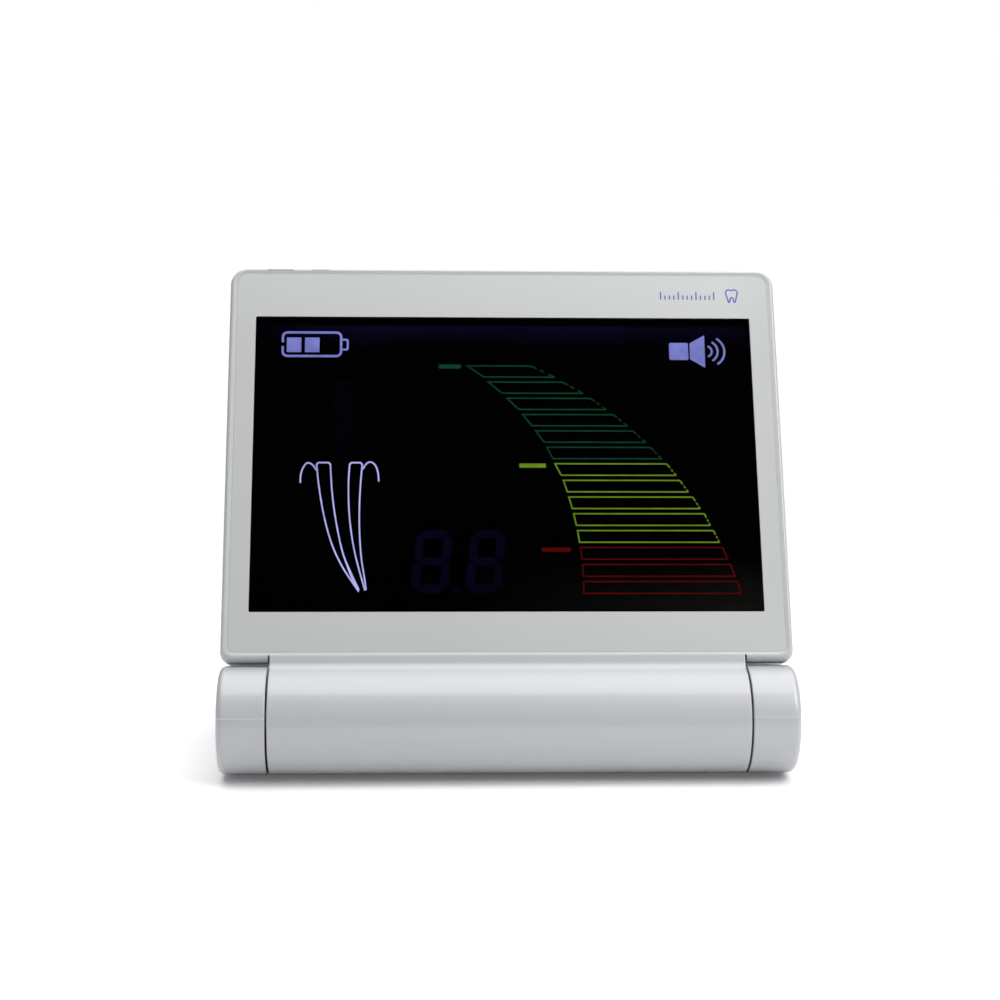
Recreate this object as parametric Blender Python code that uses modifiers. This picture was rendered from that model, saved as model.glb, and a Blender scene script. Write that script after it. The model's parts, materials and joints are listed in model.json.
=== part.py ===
"""Folding apex locator: a tilting colour-display panel hinged on a flat base.

All dimensions are millimetres.  Display and base are both laid out relative to
the hinge axis: X along the axis, Y from the axis towards the rear of the base,
Z up.  Left is -X and right is +X.  The display is modelled folded flat on the
base with its screen up, then raised by DISPLAY_ANGLE through its parent empty.
"""
import math

import bmesh
import bpy
from mathutils import Matrix, Vector

MM = 0.001

# ---------------------------------------------------------------- shared dimensions
HALF_W = 56.0            # half the overall width
GAP = 0.25               # clearance between fitted parts
BARREL_R = 10.5          # hinge barrel radius
BARREL_HALF = 46.3       # half length of the middle barrel (display side)
CAP_IN = 46.65           # inner face of the end barrels (base side)
FOOT_LIFT = 0.7          # how far the rubber feet stand out
DISPLAY_ANGLE = 64.0     # opening angle at rest, degrees from the base
BASE_REAR = 93.6
BASE_BOTTOM = -BARREL_R
AXIS_Z = BARREL_R + FOOT_LIFT
AXIS_Y = -(BASE_REAR - BARREL_R) / 2   # puts the origin at the centre of the footprint

SIDES = {"left": -1, "right": 1}
SHAFT_R = {"left": 2.5, "right": 3.6}
CABLE_HOLE_R = 2.3       # bore of the right shaft

# ---------------------------------------------------------------- scene
for old in list(bpy.data.objects):
    bpy.data.objects.remove(old, do_unlink=True)

parts = bpy.data.collections.new("apex_locator")
bpy.context.scene.collection.children.link(parts)
cutters = bpy.data.collections.new("cutters")
bpy.context.scene.collection.children.link(cutters)


def material(name, colour, roughness, metallic=0.0):
    mat = bpy.data.materials.new(name)
    mat.use_nodes = True
    inputs = mat.node_tree.nodes["Principled BSDF"].inputs
    inputs["Base Color"].default_value = (*colour, 1.0)
    inputs["Roughness"].default_value = roughness
    inputs["Metallic"].default_value = metallic
    return mat


SHELL = material("shell_plastic", colour=(0.80, 0.81, 0.83), roughness=0.28)
LENS = material("printed_lens", colour=(0.62, 0.63, 0.62), roughness=0.12)
LCD = material("lcd_glass", colour=(0.01, 0.01, 0.012), roughness=0.15)
LIGHT = material("light_guide", colour=(0.88, 0.89, 0.92), roughness=0.4)
BOARD = material("circuit_board", colour=(0.02, 0.16, 0.07), roughness=0.5)
CHIP = material("chip_resin", colour=(0.02, 0.02, 0.022), roughness=0.6)
STEEL = material("hinge_steel", colour=(0.55, 0.56, 0.58), roughness=0.3, metallic=1.0)
SCREW = material("screw_steel", colour=(0.35, 0.36, 0.38), roughness=0.35, metallic=1.0)
RUBBER = material("foot_rubber", colour=(0.05, 0.05, 0.055), roughness=0.85)
BUTTON = material("button_plastic", colour=(0.45, 0.47, 0.52), roughness=0.4)
CELL = material("cell_wrap", colour=(0.08, 0.16, 0.36), roughness=0.4)
WIRE = material("wire_jacket", colour=(0.06, 0.06, 0.065), roughness=0.6)
FLEX = material("flex_film", colour=(0.55, 0.28, 0.06), roughness=0.4)
SOCKET = material("socket_body", colour=(0.09, 0.09, 0.1), roughness=0.45)
PLATED = material("plated_socket", colour=(0.72, 0.73, 0.75), roughness=0.25, metallic=1.0)


# ---------------------------------------------------------------- spans and outlines
def around(centre, half):
    return (centre - half, centre + half)


def side_span(sign, inner, outer):
    """X range between two distances from the middle, on the side given by sign."""
    return sorted((sign * inner, sign * outer))


def arc(centre, radius, start, end, steps):
    """Points on an arc from start to end degrees, both included."""
    angles = [math.radians(start + (end - start) * k / steps) for k in range(steps + 1)]
    return [(centre[0] + radius * math.cos(a), centre[1] + radius * math.sin(a))
            for a in angles]


def rounded_rectangle(x0, x1, y0, y1, radius, segments=6):
    """Anticlockwise outline; radius is one value or four, anticlockwise from (x0, y0)."""
    radii = radius if isinstance(radius, list) else [radius] * 4
    corners = [(x0, y0, 180), (x1, y0, 270), (x1, y1, 0), (x0, y1, 90)]
    points = []
    for (x, y, start), r in zip(corners, radii):
        centre = (x + (r if x == x0 else -r), y + (r if y == y0 else -r))
        points += arc(centre, r, start, start + 90, segments)
    return points


# ---------------------------------------------------------------- solids
def link(mesh, name):
    """Put a mesh in the scene as a hidden working object."""
    obj = bpy.data.objects.new(name, mesh)
    cutters.objects.link(obj)
    obj.hide_render = True
    obj.display_type = "WIRE"
    return obj


def mesh_of(bm, name):
    """Clean mesh, rounded to 0.0001 mm so that faces meant to be coplanar are."""
    bmesh.ops.remove_doubles(bm, verts=bm.verts, dist=1e-7)
    bmesh.ops.recalc_face_normals(bm, faces=bm.faces)
    mesh = bpy.data.meshes.new(name)
    bm.to_mesh(mesh)
    bm.free()
    for v in mesh.vertices:
        v.co = Vector([round(c, 7) for c in v.co])
    mesh.update()
    return mesh


def box(name, x, y, z):
    """A box from its (low, high) range along each axis."""
    bm = bmesh.new()
    bmesh.ops.create_cube(bm, size=1.0)
    size = Vector((x[1] - x[0], y[1] - y[0], z[1] - z[0]))
    centre = Vector((x[1] + x[0], y[1] + y[0], z[1] + z[0])) / 2
    bmesh.ops.scale(bm, vec=size * MM, verts=bm.verts)
    bmesh.ops.translate(bm, vec=centre * MM, verts=bm.verts)
    return link(mesh_of(bm, name), name)


def rod(name, radius, start, end, segments, axis="X", at=(0.0, 0.0), end_radius=None):
    """Cylinder or cone from start to end along an axis; at is its two other coordinates."""
    bm = bmesh.new()
    bmesh.ops.create_cone(bm, cap_ends=True, segments=segments, radius1=radius * MM,
                          radius2=(radius if end_radius is None else end_radius) * MM,
                          depth=(end - start) * MM)
    mid = (start + end) / 2
    turn = {"X": Matrix.Rotation(math.radians(90), 4, "Y"),
            "Y": Matrix.Rotation(math.radians(-90), 4, "X"),
            "Z": Matrix.Identity(4)}[axis]
    place = {"X": (mid, at[0], at[1]), "Y": (at[0], mid, at[1]), "Z": (at[0], at[1], mid)}[axis]
    bmesh.ops.transform(bm, matrix=Matrix.Translation(Vector(place) * MM) @ turn,
                        verts=bm.verts)
    return link(mesh_of(bm, name), name)


def upright(name, radius, low, high, at, segments, end_radius=None):
    """A rod along Z standing at (x, y)."""
    return rod(name, radius, low, high, segments, "Z", at, end_radius)


def plate(name, outline, low, high, plane="XY"):
    """A flat outline in the given plane, thickened from low to high along the third axis."""
    curve = bpy.data.curves.new(name, "CURVE")
    curve.dimensions = "2D"
    curve.fill_mode = "BOTH"
    curve.extrude = (high - low) / 2 * MM
    spline = curve.splines.new("POLY")
    spline.points.add(len(outline) - 1)
    for point, (a, b) in zip(spline.points, outline):
        point.co = (a * MM, b * MM, 0.0, 1.0)
    spline.use_cyclic_u = True
    helper = bpy.data.objects.new(name + "_curve", curve)
    cutters.objects.link(helper)
    bpy.context.view_layer.update()
    mesh = bpy.data.meshes.new_from_object(
        helper.evaluated_get(bpy.context.evaluated_depsgraph_get()))
    bpy.data.objects.remove(helper)
    bm = bmesh.new()
    bm.from_mesh(mesh)
    bpy.data.meshes.remove(mesh)
    bmesh.ops.translate(bm, vec=(0, 0, (low + high) / 2 * MM), verts=bm.verts)
    turn = {"XY": Matrix.Identity(4),
            "YZ": Matrix(((0, 0, 1, 0), (1, 0, 0, 0), (0, 1, 0, 0), (0, 0, 0, 1))),
            "XZ": Matrix(((1, 0, 0, 0), (0, 0, 1, 0), (0, 1, 0, 0), (0, 0, 0, 1)))}[plane]
    bmesh.ops.transform(bm, matrix=turn, verts=bm.verts)
    bmesh.ops.remove_doubles(bm, verts=bm.verts, dist=1e-7)
    bmesh.ops.dissolve_limit(bm, angle_limit=math.radians(0.3), verts=bm.verts, edges=bm.edges)
    return link(mesh_of(bm, name), name)


def turned(name, profile, segments):
    """A piece turned about the X axis: profile is a closed loop of (radius, x)."""
    bm = bmesh.new()
    verts = [bm.verts.new((r * MM, 0, x * MM)) for r, x in profile]
    for a, b in zip(verts, verts[1:] + verts[:1]):
        bm.edges.new((a, b))
    mesh = bpy.data.meshes.new(name)
    bm.to_mesh(mesh)
    bm.free()
    obj = link(mesh, name)
    screw_mod = obj.modifiers.new("turn", "SCREW")
    screw_mod.steps = screw_mod.render_steps = segments
    screw_mod.use_merge_vertices = True
    screw_mod.merge_threshold = 1e-6
    apply(obj)
    bm = bmesh.new()
    bm.from_mesh(obj.data)
    bmesh.ops.transform(bm, matrix=Matrix.Rotation(math.radians(90), 4, "Y"), verts=bm.verts)
    obj.data = mesh_of(bm, name)
    return obj


# ---------------------------------------------------------------- edge choices for bevel
EDGE_TOL = 0.01


def level_in(axis):
    """Edges whose two ends share a coordinate."""
    return lambda a, b: abs(getattr(a, axis) - getattr(b, axis)) < EDGE_TOL


def at_top(z):
    return lambda a, b: min(a.z, b.z) > z - EDGE_TOL


def at_bottom(z):
    return lambda a, b: max(a.z, b.z) < z + EDGE_TOL


def bevel(obj, width, segments, chosen):
    """Round the sharp edges for which chosen(a, b) is true; a and b are the ends in mm."""
    bm = bmesh.new()
    bm.from_mesh(obj.data)
    bm.normal_update()
    edges = [e for e in bm.edges
             if len(e.link_faces) == 2 and e.calc_face_angle(0.0) > math.radians(28)
             and chosen(e.verts[0].co / MM, e.verts[1].co / MM)]
    bmesh.ops.bevel(bm, geom=edges, offset=width * MM, segments=segments, profile=0.5,
                    affect="EDGES", clamp_overlap=True)
    old_mesh = obj.data
    obj.data = mesh_of(bm, obj.name)
    bpy.data.meshes.remove(old_mesh)
    return obj


# ---------------------------------------------------------------- operations
def apply(obj):
    """Replace the mesh by its evaluated result and drop the modifiers."""
    bpy.context.view_layer.update()
    mesh = bpy.data.meshes.new_from_object(
        obj.evaluated_get(bpy.context.evaluated_depsgraph_get()))
    obj.modifiers.clear()
    obj.data = mesh


def combine(obj, others, operation):
    """Boolean each of the others into obj and remove them."""
    for other in others:
        boolean = obj.modifiers.new("b", "BOOLEAN")
        boolean.operation = operation
        boolean.solver = "EXACT"
        boolean.object = other
        apply(obj)
        bpy.data.objects.remove(other)
    bm = bmesh.new()
    bm.from_mesh(obj.data)
    bmesh.ops.remove_doubles(bm, verts=bm.verts, dist=2e-7)
    bmesh.ops.dissolve_limit(bm, angle_limit=math.radians(0.4), verts=bm.verts, edges=bm.edges)
    bm.to_mesh(obj.data)
    bm.free()
    return obj


def cut(obj, *others):
    return combine(obj, others, "DIFFERENCE")


def join(obj, *others):
    return combine(obj, others, "UNION")


def keep(obj, other):
    return combine(obj, [other], "INTERSECT")


def copy_of(obj, name):
    twin = obj.copy()
    twin.data = obj.data.copy()
    twin.name = name
    cutters.objects.link(twin)
    return twin


def on_side(obj, sign):
    """Leave a piece built on the +X side there, or mirror it over to -X."""
    if sign < 0:
        bm = bmesh.new()
        bm.from_mesh(obj.data)
        bmesh.ops.transform(bm, matrix=Matrix.Scale(-1, 4, (1, 0, 0)), verts=bm.verts)
        bmesh.ops.reverse_faces(bm, faces=bm.faces)
        bm.to_mesh(obj.data)
        bm.free()
    return obj


def finish(obj, name, mat, parent, origin=None):
    """Make obj a part: its name, material, parent and, if given, its own origin."""
    cutters.objects.unlink(obj)
    parts.objects.link(obj)
    obj.hide_render = False
    obj.display_type = "TEXTURED"
    obj.name = name
    obj.data.name = name
    obj.data.materials.clear()
    obj.data.materials.append(mat)
    if origin is not None:
        obj.data.transform(Matrix.Translation(-Vector(origin) * MM))
        obj.location = Vector(origin) * MM
    obj.data.shade_smooth()
    obj.data.set_sharp_from_angle(angle=math.radians(32))
    obj.parent = parent


def hinge_frame(name, tilt):
    """Parent empty on the hinge axis, tilted about it by degrees."""
    frame = bpy.data.objects.new(name, None)
    parts.objects.link(frame)
    frame.location = (0, AXIS_Y * MM, AXIS_Z * MM)
    frame.rotation_euler = (math.radians(tilt), 0, 0)
    return frame


base = hinge_frame("base_frame", 0)
display = hinge_frame("display_frame", DISPLAY_ANGLE)


# ---------------------------------------------------------------- repeated pieces
def chip(name, x, y, z, chamfer, parent):
    body = box(name, x, y, z)
    finish(bevel(body, chamfer, 1, at_top(z[1])), name, CHIP, parent)


def screw(name, at, head_z, tip_z, head_r, parent):
    """Pan-head screw standing along Z with its head down and a cross recess."""
    x, y = at
    shank_r, slot_half, slot_reach = 0.8, 0.22, head_r * 0.55
    body = upright(name, head_r, head_z, head_z + 1.1, at, 16)
    bevel(body, 0.3, 1, at_bottom(head_z))
    join(body, upright("shank", shank_r, head_z + 0.9, tip_z, at, 8, shank_r * 0.8))
    # the two slots differ slightly in depth so that their floors are not coplanar
    cut(body, box("slot_x", around(x, slot_reach), around(y, slot_half),
                  (head_z - 1, head_z + 0.5)))
    cut(body, box("slot_y", around(x, slot_half), around(y, slot_reach),
                  (head_z - 1, head_z + 0.48)))
    finish(body, name, SCREW, parent, (x, y, head_z))


def cable(name, points, parent):
    """Round cable along a Catmull-Rom path through the points."""
    radius, samples = 0.8, 3
    dense = []
    for i in range(len(points) - 1):
        p0, p1 = Vector(points[max(i - 1, 0)]), Vector(points[i])
        p2, p3 = Vector(points[i + 1]), Vector(points[min(i + 2, len(points) - 1)])
        for k in range(samples):
            t = k / samples
            dense.append(0.5 * (2 * p1 + (p2 - p0) * t
                                + (2 * p0 - 5 * p1 + 4 * p2 - p3) * t * t
                                + (3 * p1 - p0 - 3 * p2 + p3) * t ** 3))
    dense.append(Vector(points[-1]))
    curve = bpy.data.curves.new(name, "CURVE")
    curve.dimensions = "3D"
    curve.bevel_depth = radius * MM
    curve.bevel_resolution = 2
    curve.use_fill_caps = True
    spline = curve.splines.new("POLY")
    spline.points.add(len(dense) - 1)
    for point, place in zip(spline.points, dense):
        point.co = (*(place * MM), 1.0)
    curve.materials.append(WIRE)
    obj = bpy.data.objects.new(name, curve)
    parts.objects.link(obj)
    obj.parent = parent


# ================================================================ display shells
WALL = 1.5               # display shell wall
RIM_TOP = 5.4            # display rim height above the hinge axis
PANEL_BACK = -1.9        # display back face
PANEL_BOTTOM = 11.05     # display lower edge beside the neck
PANEL_TOP = 93.6         # display upper edge
PANEL_CORNER = 3.4
CAVITY_Z = (-0.7, 3.2)
NECK_FACE = 5.15         # face of the narrow strip between lens and barrel
NECK_BACK = -1.8
NECK_END = 15.0          # where the neck ends inside the panel
NECK_FILLET = 2.6
SLIT_END = 11.6          # end of the slits beside the neck
RIM_W = 1.3              # plastic rim around the lens
LENS_BOTTOM = 11.75
LENS_Z = (4.3, 5.2)
SEAT_HALF = HALF_W - RIM_W
SEAT_TOP = PANEL_TOP - RIM_W
SEAT_CORNER = 2.3
OPENING_HALF, OPENING_Y = 51.5, (19.4, 83.6)   # display opening
PARTING_Z = 1.0          # parting plane of the display shells
FRONT_EDGE = PARTING_Z + GAP / 2
REAR_EDGE = PARTING_Z - GAP / 2
DISPLAY_SCREWS = [(x, y) for y in (15.4, 88.0) for x in (-52.0, 52.0)]
BUTTONS = {"power": -45.9, "set": -37.6}   # X of each button
BUTTON_HALF = 2.5
BUTTON_PROUD = 0.35      # how far the buttons stand out of the top edge
SHAFT_HOLE_SEGMENTS = {"left": 24, "right": 28}


def neck_profile():
    """(y, z) outline of the middle barrel with the neck that joins it to the panel."""
    fillet_z = NECK_FACE + NECK_FILLET
    fillet_y = math.sqrt((BARREL_R + NECK_FILLET) ** 2 - fillet_z ** 2)
    tangent = math.degrees(math.atan2(-fillet_z, -fillet_y))
    first = math.degrees(math.atan2(fillet_z, fillet_y))
    last = 360 - math.degrees(math.asin(-NECK_BACK / BARREL_R))
    return ([(NECK_END, NECK_FACE)]
            + arc((fillet_y, fillet_z), NECK_FILLET, -90.0, tangent, 5)
            + arc((0, 0), BARREL_R, first, last, 40)[1:]
            + [(NECK_END, NECK_BACK)])


def display_solid():
    """Panel, neck and middle barrel in one, hollowed, before it is parted."""
    panel = plate("panel", rounded_rectangle(-HALF_W, HALF_W, PANEL_BOTTOM, PANEL_TOP,
                                             PANEL_CORNER, 4), PANEL_BACK, RIM_TOP)
    bevel(panel, 1.1, 2, level_in("z"))
    neck = plate("neck", neck_profile(), -BARREL_HALF, BARREL_HALF, "YZ")
    bevel(neck, 0.3, 1, level_in("x"))
    join(panel, neck)
    cavity_half, barrel_cavity = HALF_W - WALL, BARREL_HALF - WALL
    cut(panel,
        plate("panel_hollow", rounded_rectangle(-cavity_half, cavity_half, PANEL_BOTTOM + WALL,
                                                PANEL_TOP - WALL, 2.0, 3), *CAVITY_Z),
        rod("barrel_hollow", BARREL_R - WALL, -barrel_cavity, barrel_cavity, 28),
        box("neck_hollow", x=(-44.5, 44.5), y=(5.0, 13.5), z=(CAVITY_Z[0], 3.6)))
    cut(panel,
        plate("lens_seat", rounded_rectangle(-SEAT_HALF, SEAT_HALF, LENS_BOTTOM, SEAT_TOP,
                                             SEAT_CORNER, 5), 4.2, 7.0),
        box("lcd_opening", x=(-OPENING_HALF, OPENING_HALF), y=OPENING_Y, z=(2.0, 5.0)),
        *[box("slit", x=side_span(sign, BARREL_HALF - 0.05, CAP_IN), y=(9.0, SLIT_END),
              z=(-4, 8)) for sign in SIDES.values()])
    cut(panel, *[rod("shaft_hole", SHAFT_R[side] + 0.25, *side_span(sign, 43, 48),
                     SHAFT_HOLE_SEGMENTS[side]) for side, sign in SIDES.items()])
    return panel


front = display_solid()
rear = copy_of(front, "rear")
keep(front, box("front_half", x=(-70, 70), y=(-20, 110), z=(FRONT_EDGE, 20)))
keep(rear, box("rear_half", x=(-70, 70), y=(-20, 110), z=(-20, REAR_EDGE)))

for at in DISPLAY_SCREWS:
    join(front, upright("boss", 2.0, FRONT_EDGE, 3.6, at, 12))
    cut(front, upright("boss_hole", 0.95, 0.0, 3.0, at, 10))
    join(rear, upright("cup", 2.75, -1.2, 0.5, at, 14))
    cut(rear, upright("head_hole", 2.0, -4.0, -0.35, at, 18),
        upright("shank_hole", 1.1, -2.0, 2.0, at, 10))
for x in BUTTONS.values():
    cut(front, box("button_slot", around(x, BUTTON_HALF + GAP), y=(89.6, 95.0), z=(0.5, 3.5)))

finish(front, "display_front_frame", SHELL, display)
finish(rear, "display_rear_cover", SHELL, display)

# ================================================================ display contents
# lens, with GAP all round in its seat
lens_half = SEAT_HALF - GAP
lens = plate("lens", rounded_rectangle(-lens_half, lens_half, LENS_BOTTOM + GAP,
                                       SEAT_TOP - GAP, SEAT_CORNER - GAP, 5), *LENS_Z)
bevel(lens, 0.25, 2, at_top(LENS_Z[1]))
finish(lens, "screen_lens", LENS, display)


def opening_box(name, inset, z):
    """A slab that follows the display opening, smaller by (x, y) inset."""
    return box(name, around(0, OPENING_HALF - inset[0]),
               (OPENING_Y[0] + inset[1], OPENING_Y[1] - inset[1]), z)


finish(opening_box("lcd", (0.3, 0.3), z=(2.2, 3.95)), "lcd_panel", LCD, display)

# backlight with notches in its left edge, and a light in the lowest one
LED_NOTCHES_Y = (30, 48, 66)
LED_NOTCH_LENGTH = 6
LED_INSET = 0.3
guide = opening_box("guide", (0.5, 0.4), z=(0.9, 2.0))
cut(guide, *[box("led_notch", x=(-52, -49.6), y=(y, y + LED_NOTCH_LENGTH), z=(0, 3))
             for y in LED_NOTCHES_Y])
finish(guide, "backlight_panel", LIGHT, display)
led_y = (LED_NOTCHES_Y[0] + LED_INSET, LED_NOTCHES_Y[0] + LED_NOTCH_LENGTH - LED_INSET)
finish(box("led_strip", x=(-51.3, -50.0), y=led_y, z=(1.1, 1.8)),
       "backlight_led", LIGHT, display)

# circuit boards
DISPLAY_BOARD_Z = (-0.3, 0.5)
board = plate("board", rounded_rectangle(-42, 42, 12.9, 18.9, 0.8, 3), *DISPLAY_BOARD_Z)
cut(board, *[upright("board_hole", 1.0, -1, 2, (x, 15.9), 12) for x in (-38, 38)])
finish(board, "driver_board", BOARD, display)
chip("driver_chip", x=(-21, -14), y=(13.8, 18.0), z=(0.65, 1.6), chamfer=0.15, parent=display)
keys = plate("keys", rounded_rectangle(-49.2, -32.2, 84.1, 90.3, 0.8, 3), -0.4, 0.5)
finish(keys, "key_board", BOARD, display)


def tact_switch(x):
    body = box("switch", around(x, 2.2), y=(85.9, 89.1), z=(0.7, 3.0))
    bevel(body, 0.3, 1, lambda a, b: abs(a.y - b.y) > 1.0)
    return join(body, rod("plunger", 0.6, 88.6, 90.15, 12, "Y", (x, 2.1)))


def push_button(x):
    """Cap that stands out of the top edge, with a retaining flange inside."""
    end = PANEL_TOP + BUTTON_PROUD
    cap = box("cap", around(x, BUTTON_HALF), y=(91.2, end), z=(1.35, 3.25))
    bevel(cap, 0.4, 2, lambda a, b: max(a.y, b.y) > end - EDGE_TOL)
    return join(cap, box("flange", around(x, 3.1), y=(90.9, 91.75), z=(1.2, 3.0)))


for name, x in BUTTONS.items():
    finish(tact_switch(x), name + "_switch", CHIP, display, (x, 87.5, 1.8))
    finish(push_button(x), name + "_button", BUTTON, display, (x, 92.5, 2.3))

# (y, z) stations of the flat flex from the glass to the driver board
FLEX_PATH = [(19.4, 2.75), (18.2, 2.75), (17.4, 2.5), (16.8, 1.9),
             (16.5, 1.2), (16.0, 0.85), (14.6, 0.8)]
FLEX_HALF = 11.0
FLEX_THICKNESS = 0.15


def flex_ribbon():
    """An open strip along FLEX_PATH, given thickness."""
    bm = bmesh.new()
    rows = [[bm.verts.new((x * MM, y * MM, z * MM)) for x in (-FLEX_HALF, FLEX_HALF)]
            for y, z in FLEX_PATH]
    for (a, b), (c, d) in zip(rows, rows[1:]):
        bm.faces.new((a, b, d, c))
    mesh = bpy.data.meshes.new("flex")
    bm.to_mesh(mesh)
    bm.free()
    ribbon = link(mesh, "flex")
    solidify = ribbon.modifiers.new("thick", "SOLIDIFY")
    solidify.thickness = FLEX_THICKNESS * MM
    solidify.offset = 0.0
    apply(ribbon)
    return ribbon


finish(flex_ribbon(), "display_flex", FLEX, display)

for k, at in enumerate(DISPLAY_SCREWS, 1):
    screw("cover_screw_%d" % k, at, head_z=-1.6, tip_z=2.8, head_r=1.75, parent=display)

# ================================================================ hinge, both sides
SHAFT_X = (37.2, 52.2)
SHAFT_CHAMFER = 0.3
FLAT_DEPTH = 0.55        # depth of the flat on top of the shaft
SHAFT_FIT = 0.15         # radial clearance of the pieces on the shaft
ARM_X = (40.4, 42.9)
ARM_EYE_R = 5.6
ARM_END = 12.3
ARM_TOP, ARM_BOTTOM = 2.9, -0.4
LEAF_X = (48.35, 49.85)
LEAF_SCREW_X = 52.4


def shaft(side, r):
    """Plain on the left; chamfered and bored for the cable on the right."""
    start, end = SHAFT_X
    if side == "left":
        body = rod("shaft", r, start, end, 28)
    else:
        body = turned("shaft", [(r, start + SHAFT_CHAMFER), (r, end - SHAFT_CHAMFER),
                                (r - SHAFT_CHAMFER, end), (CABLE_HOLE_R, end),
                                (CABLE_HOLE_R, start), (r - SHAFT_CHAMFER, start)], 28)
    return cut(body, box("flat", x=(36.0, 44.0), y=(-6, 6), z=(r - FLAT_DEPTH, 8)))


def arm(r):
    """An eye on the flat of the shaft, and a tongue into the neck."""
    outline = ([(ARM_END, ARM_TOP), (5.0, ARM_TOP)] + arc((0, 0), ARM_EYE_R, 40, 310, 18)
               + [(5.2, ARM_BOTTOM), (ARM_END, ARM_BOTTOM)])
    body = plate("arm", outline, *ARM_X, "YZ")
    d_hole = rod("d_hole", r + SHAFT_FIT, 38, 46, 28)
    cut(d_hole, box("d_flat", x=(30, 50), y=(-8, 8), z=(r - FLAT_DEPTH + SHAFT_FIT, 9)))
    return cut(body, d_hole)


def leaf(r):
    """Ring in the end barrel on a foot screwed to the base."""
    ring = rod("ring", r + 2.4, *LEAF_X, 24)
    join(ring, box("leg", x=LEAF_X, y=(-3.4, 3.4), z=(-7.2, 0.0)))
    join(ring, box("foot", x=(LEAF_X[0], 54.2), y=(-3.9, 3.9), z=(-7.6, -6.7)))
    return cut(ring, rod("ring_hole", r + SHAFT_FIT, 47, 51, 28),
               upright("foot_hole", 0.95, -9, -5, (LEAF_SCREW_X, 0.0), 10))


def washer(r):
    """Dished washer; the profile is (radius, x)."""
    return turned("washer", [(r + 0.12, 50.02), (r + 0.55, 49.98), (r + 1.7, 50.25),
                             (r + 1.7, 50.55), (r + 0.55, 50.3), (r + 0.12, 50.3)], 24)


def nut(r):
    corner_r = (r + 1.55) / math.cos(math.radians(30)) * 0.94
    body = rod("nut", corner_r, 50.7, 51.85, 6)
    return cut(body, rod("nut_hole", r + SHAFT_FIT, 49, 53, 24))


for side, sign in SIDES.items():
    r = SHAFT_R[side]
    for piece, name, parent in ((shaft(side, r), "hinge_shaft_", display),
                                (arm(r), "hinge_arm_", display),
                                (leaf(r), "hinge_leaf_", base),
                                (washer(r), "friction_washer_", display),
                                (nut(r), "hinge_nut_", display)):
        finish(on_side(piece, sign), name + side, STEEL, parent)

# ================================================================ base shells
BASE_TOP = -2.2
BASE_SKIN = 1.4          # wall of the floor, the top and the end barrels
BASE_FLOOR = BASE_BOTTOM + BASE_SKIN
BASE_PARTING = -6.0      # parting plane of the base shells
COVER_Z = 2.74           # lower edge of the hinge covers
SCOOP_R = 10.95          # hollow in the base that clears the middle barrel
BARREL_RIM_R = 1.4       # rounding of the outer rim of the end barrels
SOCKET_Y, SOCKET_Z = 30.0, -6.35   # centre of both side sockets
USB_HALF_Y, USB_HALF_Z = 4.45, 1.6
BASE_SCREWS = [(x, y) for y in (20.5, 78.0) for x in (-50.0, 50.0)]
FEET = [(-51.0, 6.6), (51.0, 6.6), (-49.0, 87.6), (49.0, 87.6)]
BAY_HALF = 19.0          # battery bay
REBATE_HALF = 20.2       # rebate for the edges of the door
DOOR_FRONT = 37.0
BAY_ROOF = -8.5
BUZZER_AT = (-36.0, 58.0)
SOUND_RING_R = 2.6

# (x, y) plan of the top shell, and the slightly larger one cleared from the bottom shell
TOP_PLAN = [(-46.5, 5), (46.5, 5), (46.5, 11.1), (60, 10.9),
            (60, 100), (-60, 100), (-60, 10.9), (-46.5, 11.1)]
TOP_CLEARANCE = [(-46.62, 4), (46.62, 4), (46.62, 10.9), (61, 10.7),
                 (61, 101), (-61, 101), (-61, 10.7), (-46.62, 10.9)]


def end_barrel(sign):
    """Solid end barrel with a rounded outer rim."""
    chamfer = 0.25
    profile = ([(0.0, CAP_IN), (BARREL_R - chamfer, CAP_IN), (BARREL_R, CAP_IN + chamfer)]
               + arc((BARREL_R - BARREL_RIM_R, HALF_W - BARREL_RIM_R), BARREL_RIM_R, 0, 90, 4)
               + [(0.0, HALF_W)])
    return on_side(turned("end_barrel", profile, 48), sign)


def usb_outline(margin):
    """(y, z) outline of the charging socket, grown by margin."""
    half_z = USB_HALF_Z + margin
    return rounded_rectangle(*around(SOCKET_Y, USB_HALF_Y + margin),
                             *around(SOCKET_Z, half_z), half_z - 0.01, 6)


def base_solid():
    """Base slab and end barrels in one, hollowed, before they are parted."""
    slab = plate("base", rounded_rectangle(-HALF_W, HALF_W, 1.0, BASE_REAR,
                                           [1.0, 1.0, 3.4, 3.4], 4), BASE_BOTTOM, BASE_TOP)
    bevel(slab, 1.1, 2, level_in("z"))
    cut(slab, box("clear_front", x=(-CAP_IN, CAP_IN), y=(-20, 7.0), z=(-20, 20)),
        rod("scoop", SCOOP_R, -CAP_IN, CAP_IN, 56))
    join(slab, end_barrel(1), end_barrel(-1))
    cut(slab, plate("base_hollow", rounded_rectangle(-54.4, 54.4, 12.6, 92.1, 2.0, 3),
                    BASE_FLOOR, BASE_TOP - BASE_SKIN))
    for side, sign in SIDES.items():
        cut(slab, rod("cap_hollow", BARREL_R - BASE_SKIN,
                      *side_span(sign, 48.0, HALF_W - BASE_SKIN), 28))
        cut(slab, box("cap_passage", x=side_span(sign, 48.2, 54.35), y=(5.0, 14.0),
                      z=(-8.4, -3.8)))
        cut(slab, rod("cap_bore", SHAFT_R[side] + 0.6, *side_span(sign, 45.0, 49.0), 20))
    # sockets through the side walls
    cut(slab, rod("jack_hole", 2.85, -58, -53, 24, "X", (SOCKET_Y, SOCKET_Z)))
    return cut(slab, plate("usb_hole", usb_outline(0.2), 53, 58, "YZ"))


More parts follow.
